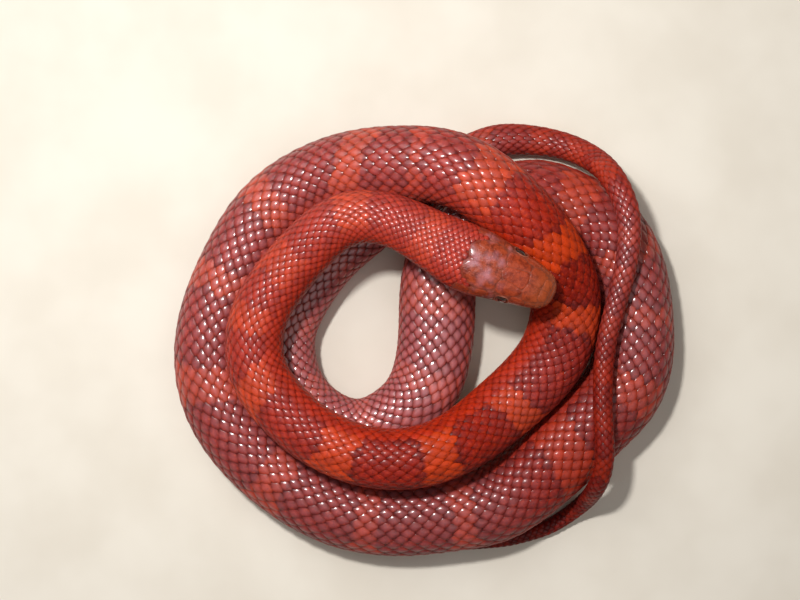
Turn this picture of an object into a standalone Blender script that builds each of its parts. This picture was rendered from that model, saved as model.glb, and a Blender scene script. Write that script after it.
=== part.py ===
"""A corn snake at life size, coiled on itself with its head resting on its own back.

One smooth route runs along the middle of the animal from snout to tail tip. Sections of a
flat-bellied loaf shape stand on that route, and the solids are lofts of those sections, parted by
thin cuts into a head, a lower jaw, two eyes, a neck, short lengths of torso and lengths of tail.
All sizes are in millimetres until the meshes are made. +X and +Y lie in the floor, +Z is up.
"""
import math

import bmesh
import bpy
import numpy as np

# Driving sizes, in millimetres
MM = 0.001
GAP = 0.3
NECK_START = 34.0
TORSO_START = 58.0
VENT = 838.0
HEAD_SHAPE_END = 44.0
BELLY_RATIO = 0.405
CROWN_RATIO = 0.455
FLANK_DEPTH_RATIO = 0.425

# Roundness of a section above and below its widest line: 2 is an ellipse, more is squarer
BODY_ROUNDNESS = (2.15, 2.7)
HEAD_ROUNDNESS = (2.6, 2.6)

# Where the torso and the tail are parted, as distances from the snout
TORSO_CUTS = (TORSO_START, 100, 142, 184, 228, 272, 318, 366, 414, 462, 510, 556, 598, 624, 650,
              678, 704, 736, 786, VENT)
TAIL_CUTS = (VENT, 870, 904, 938, 970)

# The route, as knots of x, y and the height of the belly above the floor
HEAD_AND_NECK = (
    (33.6, 12.0, 30.4), (22.0, 17.4, 30.9), (12.3, 21.4, 30.2), (4.4, 25.4, 28.2),
    (-2.0, 29.1, 25.8), (-10.8, 32.7, 24.2), (-21.6, 32.5, 22.4), (-30.6, 26.3, 20.0),
    (-37.8, 18.5, 18.3),
)
INNER_LOOP = (
    (-43.6, 10.1, 17.6), (-46.6, 0.0, 17.2), (-44.7, -10.4, 17.0), (-39.8, -17.5, 17.0),
    (-31.6, -24.8, 17.3), (-19.6, -30.7, 18.0), (-9.0, -32.4, 18.0), (1.1, -31.1, 17.4),
    (11.1, -26.9, 14.0), (20.1, -20.6, 9.6), (29.0, -12.9, 7.4), (35.3, -5.2, 7.2),
    (38.6, 3.9, 8.8), (38.8, 12.3, 11.3), (35.0, 21.3, 16.0),
)
CROSSING = (
    (31.3, 26.7, 18.4), (25.5, 33.5, 20.0), (18.8, 39.7, 20.0), (11.3, 44.7, 18.8),
    (2.7, 47.6, 16.0), (-6.5, 48.3, 12.4), (-18.5, 47.6, 7.2), (-30.8, 43.9, 2.4),
)
OUTER_LOOP = (
    (-43.1, 35.4, 0.1), (-51.6, 22.5, 0.0), (-57.8, 7.8, 0.0), (-59.8, -5.0, 0.0),
    (-57.6, -17.2, 0.0), (-52.3, -26.7, 0.0), (-44.9, -34.9, 0.0), (-34.6, -42.6, 0.0),
    (-22.1, -48.3, 0.0), (-5.9, -50.3, 0.0), (8.2, -48.9, 0.0), (20.1, -46.3, 0.0),
    (30.9, -39.2, 0.0), (41.0, -30.3, 0.0), (49.9, -21.7, 0.0), (55.5, -15.5, 0.0),
    (58.7, -7.8, 0.0), (59.5, 1.8, 0.0), (58.9, 10.0, 0.0), (56.7, 20.8, 0.0),
)
HIDDEN_ARCH = (
    (52.0, 29.3, 0.0), (42.0, 36.4, 0.0), (31.4, 39.8, 0.0), (21.6, 37.6, 0.0),
    (12.5, 32.2, 0.0), (6.5, 23.7, 0.0), (4.0, 13.7, 0.0), (3.6, 3.8, 0.0),
)
HAIRPIN = (
    (2.6, -5.6, 0.0), (-2.0, -17.2, 0.0), (-9.1, -23.1, 0.0), (-19.0, -26.0, 0.0),
    (-29.3, -22.1, 0.0), (-35.9, -14.9, 0.0), (-38.9, -5.9, 0.0), (-38.7, 2.3, 0.0),
    (-34.7, 11.4, 0.0), (-29.0, 19.5, 0.0), (-23.2, 25.4, 0.0), (-16.4, 30.4, 0.0),
    (-6.2, 38.6, 0.0), (3.7, 47.4, 0.0), (13.3, 53.4, 0.0),
)
TAIL = (
    (21.0, 56.5, 0.0), (27.7, 57.0, 0.0), (34.9, 56.3, 0.3), (41.6, 54.5, 2.0),
    (47.4, 51.1, 6.4), (50.9, 46.9, 13.0), (53.1, 42.3, 17.6), (54.8, 37.8, 19.0),
    (55.9, 32.3, 19.7), (55.9, 26.8, 19.9), (55.1, 20.5, 19.9), (53.5, 13.6, 19.6),
    (51.4, 6.0, 19.5), (49.6, -2.8, 19.2), (48.9, -10.5, 19.7), (48.8, -19.8, 20.2),
    (49.2, -27.4, 20.4), (49.3, -32.2, 19.8), (49.0, -36.2, 18.4), (48.2, -39.9, 15.7),
    (47.2, -43.4, 10.9), (45.5, -47.0, 4.6), (41.7, -51.0, 0.6), (35.8, -54.7, 0.0),
    (30.2, -56.8, 0.0), (24.4, -58.4, 0.0), (17.8, -59.4, 0.0), (10.6, -60.2, 0.0),
    (3.3, -60.7, 0.0), (-3.3, -60.8, 0.0),
)
ROUTE = HEAD_AND_NECK + INNER_LOOP + CROSSING + OUTER_LOOP + HIDDEN_ARCH + HAIRPIN + TAIL

# Body width at distances from the snout, the first one being the nominal width under the head
BODY_WIDTH = (
    (0, 12.4), (30, 13.6), (44, 14.6), (52, 14.4), (70, 15.3), (104, 16.0), (150, 16.6),
    (170, 17.2), (192, 18.6), (215, 19.5), (252, 19.6), (280, 20.5), (310, 21.5), (354, 22.0),
    (400, 22.0), (418, 21.8), (445, 22.4), (500, 22.7), (558, 22.6), (600, 22.0), (655, 21.8),
    (677, 20.6), (697, 17.9), (717, 16.9), (745, 16.2), (763, 15.6), (784, 12.8), (798, 11.5),
    (822, 9.5), (840, 8.0), (856, 7.2), (880, 6.6), (900, 5.8), (925, 5.5), (953, 5.1),
    (966, 4.8), (976, 4.4), (990, 3.5), (1009, 2.0), (1017, 0.9),
)
# The head: distance from the snout, half width, crown above the lips and jaw below them
HEAD_SHAPE = (
    (0.0, 1.7, 1.3, 0.8), (0.5, 3.0, 2.3, 1.5), (1.5, 4.1, 3.3, 2.0), (3.0, 5.0, 4.0, 2.4),
    (5.0, 5.7, 4.6, 2.7), (8.0, 6.4, 5.2, 3.0), (12.5, 7.2, 5.8, 3.5), (17.0, 8.0, 6.3, 4.0),
    (22.0, 8.8, 6.6, 4.5), (27.0, 8.9, 6.6, 4.8), (31.0, 8.4, 6.5, 5.2), (36.0, 7.9, 6.6, 5.7),
    (44.0, 7.3, 6.64, 5.91),
)

# The mouth line, as distance from the snout and height above the widest line
MOUTH_LINE = (
    (-1.5, -0.60), (1.0, -0.55), (5.0, -0.35), (10.0, -0.45), (15.0, -0.30), (20.0, 0.05),
    (25.0, -0.05), (27.5, -0.60), (27.5, -9.0),
)
JAW_HINGE = 27.5

# The eyes: distance from the snout, height above the widest line, sizes, how far they stand out
EYE_PLACE = 12.4
EYE_HEIGHT = 2.5
EYE_RADIUS = 1.7
EYE_BULGE = 1.0
EYE_PROUD = 0.45

# The nostrils: distance from the snout, height and radius
NOSTRIL_PLACE = 2.3
NOSTRIL_HEIGHT = 1.9
NOSTRIL_RADIUS = 0.45

# Shields of the crown on the animal's left, as distance from the snout and distance sideways
SHIELD_RISE = 0.24
SHIELD_SINK = 0.83
SHIELD_SEAM = 0.12
PAIRED_SHIELDS = {
    "internasal": ((1.7, 0.0), (1.6, 2.0), (2.7, 3.2), (4.0, 2.6), (4.2, 0.0)),
    "prefrontal": ((4.4, 0.0), (4.2, 2.8), (5.2, 4.4), (7.8, 4.6), (8.2, 2.2), (7.9, 0.0)),
    "supraocular": ((8.5, 2.7), (9.2, 4.6), (12.4, 5.5), (15.0, 5.2), (15.2, 3.2), (12.0, 2.2)),
    "parietal": ((15.2, 0.0), (14.7, 1.6), (15.6, 5.0), (18.0, 6.4), (22.4, 5.6), (24.4, 2.8),
                 (23.2, 0.0)),
}
FRONTAL_SHIELD = ((8.2, 0.0), (8.5, 2.3), (12.0, 1.9), (14.4, 1.4), (15.3, 0.0))

# Shields of the side of the face, as distance from the snout and height above the widest line
SIDE_SHIELDS = {
    "nasal": ((1.4, 1.45), (3.4, 1.45), (3.4, 3.0), (2.2, 2.9), (1.3, 2.3)),
    "loreal": ((3.7, 1.45), (6.1, 1.5), (6.1, 3.2), (3.7, 3.1)),
    "preocular": ((6.4, 1.5), (10.3, 1.6), (10.4, 4.2), (7.6, 4.0), (6.4, 3.3)),
    "postocular_low": ((15.0, 1.7), (16.8, 1.7), (16.8, 3.2), (15.0, 3.0)),
    "postocular_high": ((15.0, 3.3), (16.8, 3.4), (16.6, 4.5), (15.0, 4.4)),
    "temporal_low": ((17.1, 1.7), (20.6, 1.9), (20.9, 3.0), (20.4, 3.3), (17.1, 3.2)),
    "temporal_high": ((17.1, 3.5), (20.4, 3.6), (20.6, 4.3), (18.6, 4.6), (17.1, 4.4)),
    "temple_low": ((21.0, 1.9), (24.0, 1.8), (24.4, 2.6), (23.9, 3.2), (21.2, 3.2)),
}
# The plate at the front of the snout: how far round it reaches, and its low and high edges
ROSTRAL_REACH = (1.2, 1.5, 1.7, 1.8, 1.7, 1.5, 1.2, 0.35, 0.35)
ROSTRAL_ANGLES = (10, 35, 60, 90, 120, 145, 170, 196, 344)

# Lip shields: how many on each side, where they start and end, and how tall they are
LIP_SHIELDS = 8
LIP_START = 1.8
LIP_END = 25.5
UPPER_LIP_HEIGHT = 1.7
LOWER_LIP_HEIGHT = 1.5
LIP_RISE = 0.2

COLLECTION = "corn_snake"
CUTTERS = "cutters"


def smooth_table(table, at):
    """Reads a table of stations at the given places, without overshoot between them."""
    table = np.asarray(table, float)
    x, y = table[:, 0], table[:, 1:]
    step = np.diff(x)[:, None]
    rise = np.diff(y, axis=0) / step
    slope = np.zeros_like(y)
    slope[0], slope[-1] = rise[0], rise[-1]
    product = rise[:-1] * rise[1:]
    total = rise[:-1] + rise[1:]
    even = np.where(np.abs(total) > 1e-9, 2 * product / np.where(total == 0, 1, total), 0)
    slope[1:-1] = np.where(product > 0, even, 0)
    at = np.clip(np.atleast_1d(np.asarray(at, float)), x[0], x[-1])
    k = np.clip(np.searchsorted(x, at, side="right") - 1, 0, len(x) - 2)
    t = ((at - x[k]) / (x[k + 1] - x[k]))[:, None]
    h = step[k]
    return ((2 * t**3 - 3 * t**2 + 1) * y[k] + (t**3 - 2 * t**2 + t) * h * slope[k]
            + (3 * t**2 - 2 * t**3) * y[k + 1] + (t**3 - t**2) * h * slope[k + 1])


def natural_spline(x, y, at):
    """A smooth curve with even bending through the points y at the parameters x."""
    n = len(x)
    h = np.diff(x)
    matrix = np.eye(n)
    right = np.zeros((n, y.shape[1]))
    for i in range(1, n - 1):
        matrix[i, i - 1:i + 2] = h[i - 1], 2 * (h[i - 1] + h[i]), h[i]
        right[i] = 6 * ((y[i + 1] - y[i]) / h[i] - (y[i] - y[i - 1]) / h[i - 1])
    bend = np.linalg.solve(matrix, right)
    k = np.clip(np.searchsorted(x, at, side="right") - 1, 0, n - 2)
    span = h[k][:, None]
    a = (x[k + 1] - at)[:, None]
    b = (at - x[k])[:, None]
    return ((bend[k] * a**3 + bend[k + 1] * b**3) / (6 * span)
            + (y[k] / span - bend[k] * span / 6) * a
            + (y[k + 1] / span - bend[k + 1] * span / 6) * b)


class Route:
    """The line along the animal's widest level, measured by distance from the snout."""

    def __init__(self, knots):
        knots = np.asarray(knots, float)
        steps = np.linalg.norm(np.diff(knots, axis=0), axis=1)
        chord = np.r_[0, np.cumsum(steps)]
        fine = np.linspace(0, chord[-1], 6000)
        points = natural_spline(chord, knots, fine)
        points[:, 2] = np.maximum(points[:, 2], 0)
        self.distance = np.r_[0, np.cumsum(np.linalg.norm(np.diff(points, axis=0), axis=1))]
        points[:, 2] += BELLY_RATIO * smooth_table(BODY_WIDTH, self.distance)[:, 0]
        self.points = points
        self.length = self.distance[-1]

    def place(self, s):
        """The point at a distance from the snout."""
        return np.array([np.interp(s, self.distance, self.points[:, i]) for i in range(3)])

    def frame(self, s):
        """The point, the animal's left, its upward direction and its forward direction."""
        ahead = self.place(max(s - 0.4, 0))
        behind = self.place(min(s + 0.4, self.length))
        forward = ahead - behind
        forward /= np.linalg.norm(forward)
        left = np.cross((0, 0, 1), forward)
        left /= np.linalg.norm(left)
        return self.place(s), left, np.cross(forward, left), forward


def section_sizes(s):
    """Half width, crown, belly flat, depth of the flank's curve and the two roundnesses."""
    width = smooth_table(BODY_WIDTH, s)[0, 0]
    if s >= HEAD_SHAPE_END:
        return (width / 2, CROWN_RATIO * width, BELLY_RATIO * width,
                FLANK_DEPTH_RATIO * width) + BODY_ROUNDNESS
    half, crown, jaw = smooth_table(HEAD_SHAPE, s)[0]
    t = np.clip((s - JAW_HINGE) / (HEAD_SHAPE_END - JAW_HINGE), 0, 1)
    t = t * t * (3 - 2 * t)
    depth = jaw * (1 + t * (FLANK_DEPTH_RATIO / BELLY_RATIO - 1))
    roundness = tuple(a + t * (b - a) for a, b in zip(HEAD_ROUNDNESS, BODY_ROUNDNESS))
    return (half, crown, jaw, depth) + roundness


def surface(route, s, angle, rise=0.0):
    """A point of the skin: angle 0 is the left flank, a quarter turn is the back."""
    point, left, up, _ = route.frame(s)
    half, crown, belly, depth, above, below = section_sizes(s)
    c, n = math.cos(angle), math.sin(angle)
    power = 2 / (above if n > 0 else below)
    y = half * math.copysign(abs(c)**power, c)
    z = (crown if n > 0 else depth) * math.copysign(abs(n)**power, n)
    slope = np.array([y / half**2, max(z, -belly) / crown**2])
    slope /= max(np.linalg.norm(slope), 1e-9)
    z = max(z, -belly)
    return point + (y + rise * slope[0]) * left + (z + rise * slope[1]) * up


def ring(route, s, count, along=0.0):
    """One section of the body, moved along its own axis by a little, never under the floor."""
    point, left, up, forward = route.frame(s)
    half, crown, belly, depth, above, below = section_sizes(s)
    angle = 2 * np.pi * (np.arange(count) + 0.5) / count
    c, n = np.cos(angle), np.sin(angle)
    power = 2 / np.where(n > 0, above, below)
    y = half * np.sign(c) * np.abs(c)**power
    z = np.where(n > 0, crown, depth) * np.sign(n) * np.abs(n)**power
    z = np.maximum(z, -belly)
    points = point + along * forward + np.outer(y, left) + np.outer(z, up)
    points[:, 2] = np.maximum(points[:, 2], 0)
    return points


def new_object(name, mesh, collection):
    """Puts a mesh into an object of its own in one of the collections."""
    made = bpy.data.objects.new(name, mesh)
    bpy.data.collections[collection].objects.link(made)
    return made


def loft(name, rings, collection=COLLECTION):
    """A closed solid through rings of the same count, with its two ends capped."""
    rings = np.asarray(rings) * MM
    count = rings.shape[1]
    work = bmesh.new()
    verts = [[work.verts.new(p) for p in one] for one in rings]
    for a, b in zip(verts, verts[1:]):
        for i in range(count):
            j = (i + 1) % count
            work.faces.new((a[i], a[j], b[j], b[i]))
    work.faces.new(verts[0])
    work.faces.new(verts[-1])
    bmesh.ops.triangulate(work, faces=work.faces[:])
    bmesh.ops.recalc_face_normals(work, faces=work.faces[:])
    mesh = bpy.data.meshes.new(name)
    work.to_mesh(mesh)
    work.free()
    return new_object(name, mesh, collection)


def finish(piece, material):
    """Gives a piece its one material and smooth shading with crisp edges."""
    piece.data.materials.clear()
    piece.data.materials.append(material)
    piece.data.shade_smooth()
    piece.data.set_sharp_from_angle(angle=math.radians(50))
    return piece


def make_material(name, colour, roughness):
    """A plain coloured finish."""
    material = bpy.data.materials.new(name)
    material.use_nodes = True
    shader = material.node_tree.nodes["Principled BSDF"]
    shader.inputs["Base Color"].default_value = (*colour, 1)
    shader.inputs["Roughness"].default_value = roughness
    shader.inputs["Metallic"].default_value = 0
    return material


def spacing(s):
    """How far apart the sections stand: closer where the body is thin."""
    return 1.0 + 0.28 * smooth_table(BODY_WIDTH, s)[0, 0]


def body_length(route, name, start, end, sides, material):
    """One length of the body between two cuts, each cut half a gap away."""
    middle = []
    s = start + spacing(start) / 2
    last = end - spacing(end) / 2
    count = max(1, round((last - s) / spacing((s + last) / 2)))
    for i in range(count + 1):
        middle.append(ring(route, s + (last - s) * i / count, sides))
    first = ring(route, start, sides, -GAP / 2)
    final = ring(route, end, sides, GAP / 2)
    return finish(loft(name, [first, *middle, final]), material)


def tail_tip(route, name, start, sides, material):
    """The last length, drawn out to a small blunt point."""
    stops = np.linspace(start + 2, route.length - 0.4, 18)
    rings = [ring(route, start, sides, -GAP / 2)]
    rings += [ring(route, s, sides) for s in stops]
    return finish(loft(name, rings), material)


def on_crown(s, y):
    """The section angle of the crown point that lies y to the left of the middle."""
    half, _, _, _, above, _ = section_sizes(s)
    share = min(abs(y) / half, 0.999)
    angle = math.acos(share**(above / 2))
    return angle if y >= 0 else math.pi - angle


def shield(route, name, outline, rise):
    """A scute: a low dome raised on the skin over an outline of distance and angle."""
    outline = np.asarray(outline, float)
    corners = np.vstack([outline, outline[:1]])
    edge = []
    for a, b in zip(corners, corners[1:]):
        edge += [a, (a + b) / 2]
    edge = np.array(edge)
    middle = edge.mean(axis=0)
    inner = middle + (edge - middle) * 0.72
    rows = [(middle + (edge - middle) * 0.3, -SHIELD_SINK), (edge, -SHIELD_SINK),
            (edge, rise * 0.35), (inner, rise)]
    rings = [[surface(route, s, a, lift) for s, a in row] for row, lift in rows]
    return loft(name, rings, CUTTERS)


def shrink(outline, seam):
    """Draws an outline in by half a seam, so that neighbouring shields keep a groove."""
    outline = np.asarray(outline, float)
    middle = outline.mean(axis=0)
    away = outline - middle
    reach = np.linalg.norm(away, axis=1, keepdims=True)
    return middle + away * (1 - seam / np.maximum(reach, seam * 2))


def crown_outline(outline, side):
    """Turns an outline in distance and sideways place into distance and section angle."""
    return [(s, on_crown(s, side * y)) for s, y in shrink(outline, SHIELD_SEAM)]


def crown_shields(route):
    """The paired shields of the crown and the frontal between the eyes."""
    made = []
    for side in (1, -1):
        for name, outline in PAIRED_SHIELDS.items():
            made.append(shield(route, f"{name}_{side}", crown_outline(outline, side),
                               SHIELD_RISE))
    both = FRONTAL_SHIELD + tuple((s, -y) for s, y in FRONTAL_SHIELD[-2:0:-1])
    made.append(shield(route, "frontal", crown_outline(both, 1), SHIELD_RISE))
    return made


def side_shields(route):
    """The nasal, the plates before and behind the eye, and the temple's plates."""
    made = []
    for side in (1, -1):
        for name, outline in SIDE_SHIELDS.items():
            corners = []
            for s, z in shrink(outline, SHIELD_SEAM / 2):
                angle = flank_angle(s, z)
                corners.append((s, angle if side > 0 else math.pi - angle))
            made.append(shield(route, f"{name}_{side}", corners, SHIELD_RISE))
    return made


def rostral_shield(route):
    """The plate over the tip of the snout, above the mouth."""
    edge = [(s, math.radians(a)) for s, a in zip(ROSTRAL_REACH, ROSTRAL_ANGLES)]
    rows = ((1.0, -SHIELD_SINK), (1.0, SHIELD_RISE * 0.4), (0.55, SHIELD_RISE), (0.1, SHIELD_RISE))
    rings = [[surface(route, s * share, a, lift) for s, a in edge] for share, lift in rows]
    return loft("rostral", rings, CUTTERS)


def flank_angle(s, z):
    """The section angle of the left flank at a height above or below the widest line."""
    _, crown, _, depth, above, below = section_sizes(s)
    tall, power = (crown, above) if z >= 0 else (depth, below)
    return math.copysign(math.asin(min(abs(z) / tall, 0.999)**(power / 2)), z)


def lip_row(route, name, low, high, stations):
    """A row of lip shields along both flanks, each between two stations."""
    made = []
    mouth = np.array(MOUTH_LINE[:-1])
    for side in (1, -1):
        for i, (a, b) in enumerate(zip(stations, stations[1:])):
            a, b = a + SHIELD_SEAM, b - SHIELD_SEAM
            corners = []
            for s, z in ((a, low), (b, low), (b, high), (a, high)):
                angle = flank_angle(s, z + np.interp(s, mouth[:, 0], mouth[:, 1]))
                corners.append((s, angle if side > 0 else math.pi - angle))
            made.append(shield(route, f"{name}_{side}_{i}", corners, LIP_RISE))
    return made


def lip_shields(route):
    """The upper and lower lip shields."""
    stations = np.linspace(LIP_START, LIP_END, LIP_SHIELDS + 1)
    edge = GAP / 2 + SHIELD_SEAM
    upper = lip_row(route, "upper_lip", edge, edge + UPPER_LIP_HEIGHT, stations)
    lower = lip_row(route, "lower_lip", -edge - LOWER_LIP_HEIGHT, -edge, stations)
    return upper + lower


def eye_matrix(route, side):
    """Where an eye sits: its middle, and the directions in which it is flattened."""
    angle = flank_angle(EYE_PLACE, EYE_HEIGHT)
    angle = angle if side > 0 else math.pi - angle
    skin = surface(route, EYE_PLACE, angle)
    out = surface(route, EYE_PLACE, angle, 1.0) - skin
    out /= np.linalg.norm(out)
    forward = route.frame(EYE_PLACE)[3]
    up = np.cross(out, forward)
    up /= np.linalg.norm(up)
    middle = skin + out * (EYE_PROUD - EYE_BULGE)
    return middle, out, forward, up


def eyeball(route, name, side, grow, collection, segments=16, rings=10):
    """A lens-shaped ball in the flank, or its socket when it is grown by the gap."""
    middle, out, forward, up = eye_matrix(route, side)
    work = bmesh.new()
    bmesh.ops.create_uvsphere(work, u_segments=segments, v_segments=rings, radius=1)
    radius, bulge = EYE_RADIUS + grow, EYE_BULGE + grow
    for v in work.verts:
        x, y, z = v.co
        v.co = (middle + radius * (x * forward + y * up) + bulge * z * out) * MM
    bmesh.ops.recalc_face_normals(work, faces=work.faces[:])
    mesh = bpy.data.meshes.new(name)
    work.to_mesh(mesh)
    work.free()
    return new_object(name, mesh, collection)


def mouth_cutter(route):
    """A thin bent slab that parts the lower jaw from the head, down behind the jaw hinge."""
    point, left, up, forward = route.frame(JAW_HINGE / 2)
    tip = point + forward * JAW_HINGE / 2
    line = np.array(MOUTH_LINE)
    direction = np.gradient(line, axis=0)
    direction[-1] = direction[-2] = (0, -1)
    direction /= np.linalg.norm(direction, axis=1, keepdims=True)
    direction[-2] = np.array((1, -1)) / math.sqrt(2)
    normal = np.stack([-direction[:, 1], direction[:, 0]], axis=1) * GAP / 2
    normal[-2] *= math.sqrt(2)
    rings = []
    for place, away in zip(line, normal):
        corners = []
        for reach, side in ((12, 1), (12, -1), (-12, -1), (-12, 1)):
            s, z = place + side * away
            corners.append(tip - forward * s + up * z + left * reach)
        rings.append(corners)
    return loft("mouth_cutter", rings, CUTTERS)


def nostril_cutter(route, side):
    """A short round pit in the side of the snout."""
    angle = flank_angle(NOSTRIL_PLACE, NOSTRIL_HEIGHT)
    angle = angle if side > 0 else math.pi - angle
    inner = surface(route, NOSTRIL_PLACE + 0.4, angle, -0.8)
    outer = surface(route, NOSTRIL_PLACE - 0.1, angle, 0.8)
    axis = (outer - inner) / np.linalg.norm(outer - inner)
    side_on = np.cross(axis, (0, 0, 1))
    side_on /= np.linalg.norm(side_on)
    over = np.cross(axis, side_on)
    turn = 2 * np.pi * np.arange(8) / 8
    circle = NOSTRIL_RADIUS * (np.outer(np.cos(turn), side_on) + np.outer(np.sin(turn), over))
    return loft(f"nostril_{side}", [inner + circle * 0.7, outer + circle], CUTTERS)


def apply_boolean(target, operation, operands):
    """Applies one Boolean with a collection of closed solids, then removes them."""
    group = bpy.data.collections.new("operands")
    bpy.context.scene.collection.children.link(group)
    for one in operands:
        group.objects.link(one)
    modifier = target.modifiers.new("boolean", "BOOLEAN")
    modifier.operation = operation
    modifier.solver = "EXACT"
    modifier.operand_type = "COLLECTION"
    modifier.collection = group
    with bpy.context.temp_override(object=target, active_object=target):
        bpy.ops.object.modifier_apply(modifier=modifier.name)
    for one in operands:
        bpy.data.objects.remove(one)
    bpy.data.collections.remove(group)


def loose_bodies(source):
    """Splits a mesh into its closed bodies, largest first."""
    work = bmesh.new()
    work.from_mesh(source.data)
    bodies, seen = [], set()
    for start in work.faces:
        if start in seen:
            continue
        body, front = [], [start]
        seen.add(start)
        while front:
            face = front.pop()
            body.append(face)
            for edge in face.edges:
                for other in edge.link_faces:
                    if other not in seen:
                        seen.add(other)
                        front.append(other)
        bodies.append(body)
    bodies.sort(key=len, reverse=True)
    meshes = []
    for body in bodies:
        index, verts, faces = {}, [], []
        for face in body:
            for v in face.verts:
                if v not in index:
                    index[v] = len(verts)
                    verts.append(v.co.copy())
            faces.append([index[v] for v in face.verts])
        mesh = bpy.data.meshes.new("body")
        mesh.from_pydata(verts, [], faces)
        meshes.append(mesh)
    work.free()
    return meshes


def make_head(route, materials):
    """The head with its shields, parted from the lower jaw along the mouth, and both eyes."""
    near = [0.0, 0.25, 0.6, 1.1, 1.8, 2.8]
    far = list(np.linspace(4.2, NECK_START - 2, 15))
    rings = [ring(route, s, 24) for s in near + far]
    rings.append(ring(route, NECK_START, 24, GAP / 2))
    whole = loft("head", rings)
    plates = crown_shields(route) + side_shields(route) + lip_shields(route)
    apply_boolean(whole, "UNION", plates + [rostral_shield(route)])
    pits = [eyeball(route, f"socket_{side}", side, GAP, CUTTERS) for side in (1, -1)]
    pits += [nostril_cutter(route, side) for side in (1, -1)]
    pits.append(mouth_cutter(route))
    apply_boolean(whole, "DIFFERENCE", pits)
    head, jaw = loose_bodies(whole)[:2]
    whole.data = head
    finish(whole, materials["head"])
    finish(new_object("lower_jaw", jaw, COLLECTION), materials["lips"])
    for name, side in (("eye_left", 1), ("eye_right", -1)):
        finish(eyeball(route, name, side, 0, COLLECTION), materials["eye"])


def clear_scene():
    """Starts from an empty file with the two collections."""
    for thing in list(bpy.data.objects):
        bpy.data.objects.remove(thing)
    for name in (COLLECTION, CUTTERS):
        made = bpy.data.collections.new(name)
        bpy.context.scene.collection.children.link(made)


def main():
    """Builds every piece of the animal."""
    clear_scene()
    materials = {
        "head": make_material("head_rust", (0.36, 0.09, 0.03), 0.35),
        "lips": make_material("lip_orange", (0.48, 0.16, 0.05), 0.4),
        "eye": make_material("eye_dark", (0.02, 0.008, 0.006), 0.08),
        "front": make_material("skin_orange_red", (0.42, 0.06, 0.02), 0.35),
        "rear": make_material("skin_mauve_red", (0.30, 0.05, 0.05), 0.35),
        "tail": make_material("skin_tail", (0.33, 0.06, 0.04), 0.35),
    }
    route = Route(ROUTE)
    make_head(route, materials)
    body_length(route, "neck", NECK_START, TORSO_START, 18, materials["front"])
    for i, (a, b) in enumerate(zip(TORSO_CUTS, TORSO_CUTS[1:]), 1):
        skin = materials["front"] if b <= 366 else materials["rear"]
        body_length(route, f"torso_{i:02d}", a, b, 18, skin)
    for i, (a, b) in enumerate(zip(TAIL_CUTS, TAIL_CUTS[1:]), 1):
        body_length(route, f"tail_{i}", a, b, 14, materials["tail"])
    tail_tip(route, f"tail_{len(TAIL_CUTS)}", TAIL_CUTS[-1], 10, materials["tail"])


main()
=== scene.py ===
"""The looks of a life-size corn snake, coiled on itself with its head resting on its own back.

One continuous skin runs from the snout to the tail tip, with the shields of the head raised on it.
Over it lie the scales of the back, the flanks and the tail, one small closed shell each, and the
broad plates of the belly. Shapes are worked out in millimetres on an unrolled map of the body:
the distance from the snout, and the share of the way round from the middle of the back (0) to the
middle of the belly (1 on the animal's left, -1 on its right).
"""
import logging
import math
from dataclasses import dataclass, field
from enum import Enum
from typing import ClassVar

import bpy
import numpy as np
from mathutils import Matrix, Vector


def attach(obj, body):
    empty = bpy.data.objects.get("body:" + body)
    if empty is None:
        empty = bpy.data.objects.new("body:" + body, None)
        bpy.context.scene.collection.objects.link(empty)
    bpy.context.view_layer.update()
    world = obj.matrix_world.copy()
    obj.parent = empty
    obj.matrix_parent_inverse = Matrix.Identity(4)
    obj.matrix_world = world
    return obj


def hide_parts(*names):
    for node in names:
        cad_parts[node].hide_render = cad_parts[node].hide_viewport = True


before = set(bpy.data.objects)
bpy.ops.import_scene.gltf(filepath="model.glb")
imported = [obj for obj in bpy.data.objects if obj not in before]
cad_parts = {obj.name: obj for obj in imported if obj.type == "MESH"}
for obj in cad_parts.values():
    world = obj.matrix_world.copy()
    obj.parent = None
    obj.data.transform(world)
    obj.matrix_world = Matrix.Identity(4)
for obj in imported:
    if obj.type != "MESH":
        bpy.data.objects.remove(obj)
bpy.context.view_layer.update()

LOG = logging.getLogger("corn_snake")
MM = 0.001
# Inputs of the markings, which each piece keeps at its points under the same names in small letters
MARKS = ("Gap", "Bright", "Around", "Mauve", "Depth", "Shade_and_dark_tail")
SKIN_IOR = 1.45
Array = np.ndarray
Table = tuple[tuple[float, ...], ...]
Outlines = dict[str, tuple[tuple[float, float], ...]]
Colour = tuple[float, float, float, float]

# The route of the body, as knots of x, y and the height of the belly above the floor
HEAD_AND_NECK = (
    (33.6, 12.0, 30.4), (22.0, 17.4, 30.9), (12.3, 21.4, 30.2), (4.4, 25.4, 28.2),
    (-2.0, 29.1, 25.8), (-10.8, 32.7, 24.2), (-21.6, 32.5, 22.4), (-30.6, 26.3, 20.0),
    (-37.8, 18.5, 18.3),
)
INNER_LOOP = (
    (-43.6, 10.1, 17.6), (-46.6, 0.0, 17.2), (-44.7, -10.4, 17.0), (-39.8, -17.5, 17.0),
    (-31.6, -24.8, 17.3), (-19.6, -30.7, 18.0), (-9.0, -32.4, 18.0), (1.1, -31.1, 17.4),
    (11.1, -26.9, 14.0), (20.1, -20.6, 9.6), (29.0, -12.9, 7.4), (35.3, -5.2, 7.2),
    (38.6, 3.9, 8.8), (38.8, 12.3, 11.3), (35.0, 21.3, 16.0),
)
CROSSING = (
    (31.3, 26.7, 18.4), (25.5, 33.5, 20.0), (18.8, 39.7, 20.0), (11.3, 44.7, 18.8),
    (2.7, 47.6, 16.0), (-6.5, 48.3, 12.4), (-18.5, 47.6, 7.2), (-30.8, 43.9, 2.4),
)
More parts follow.
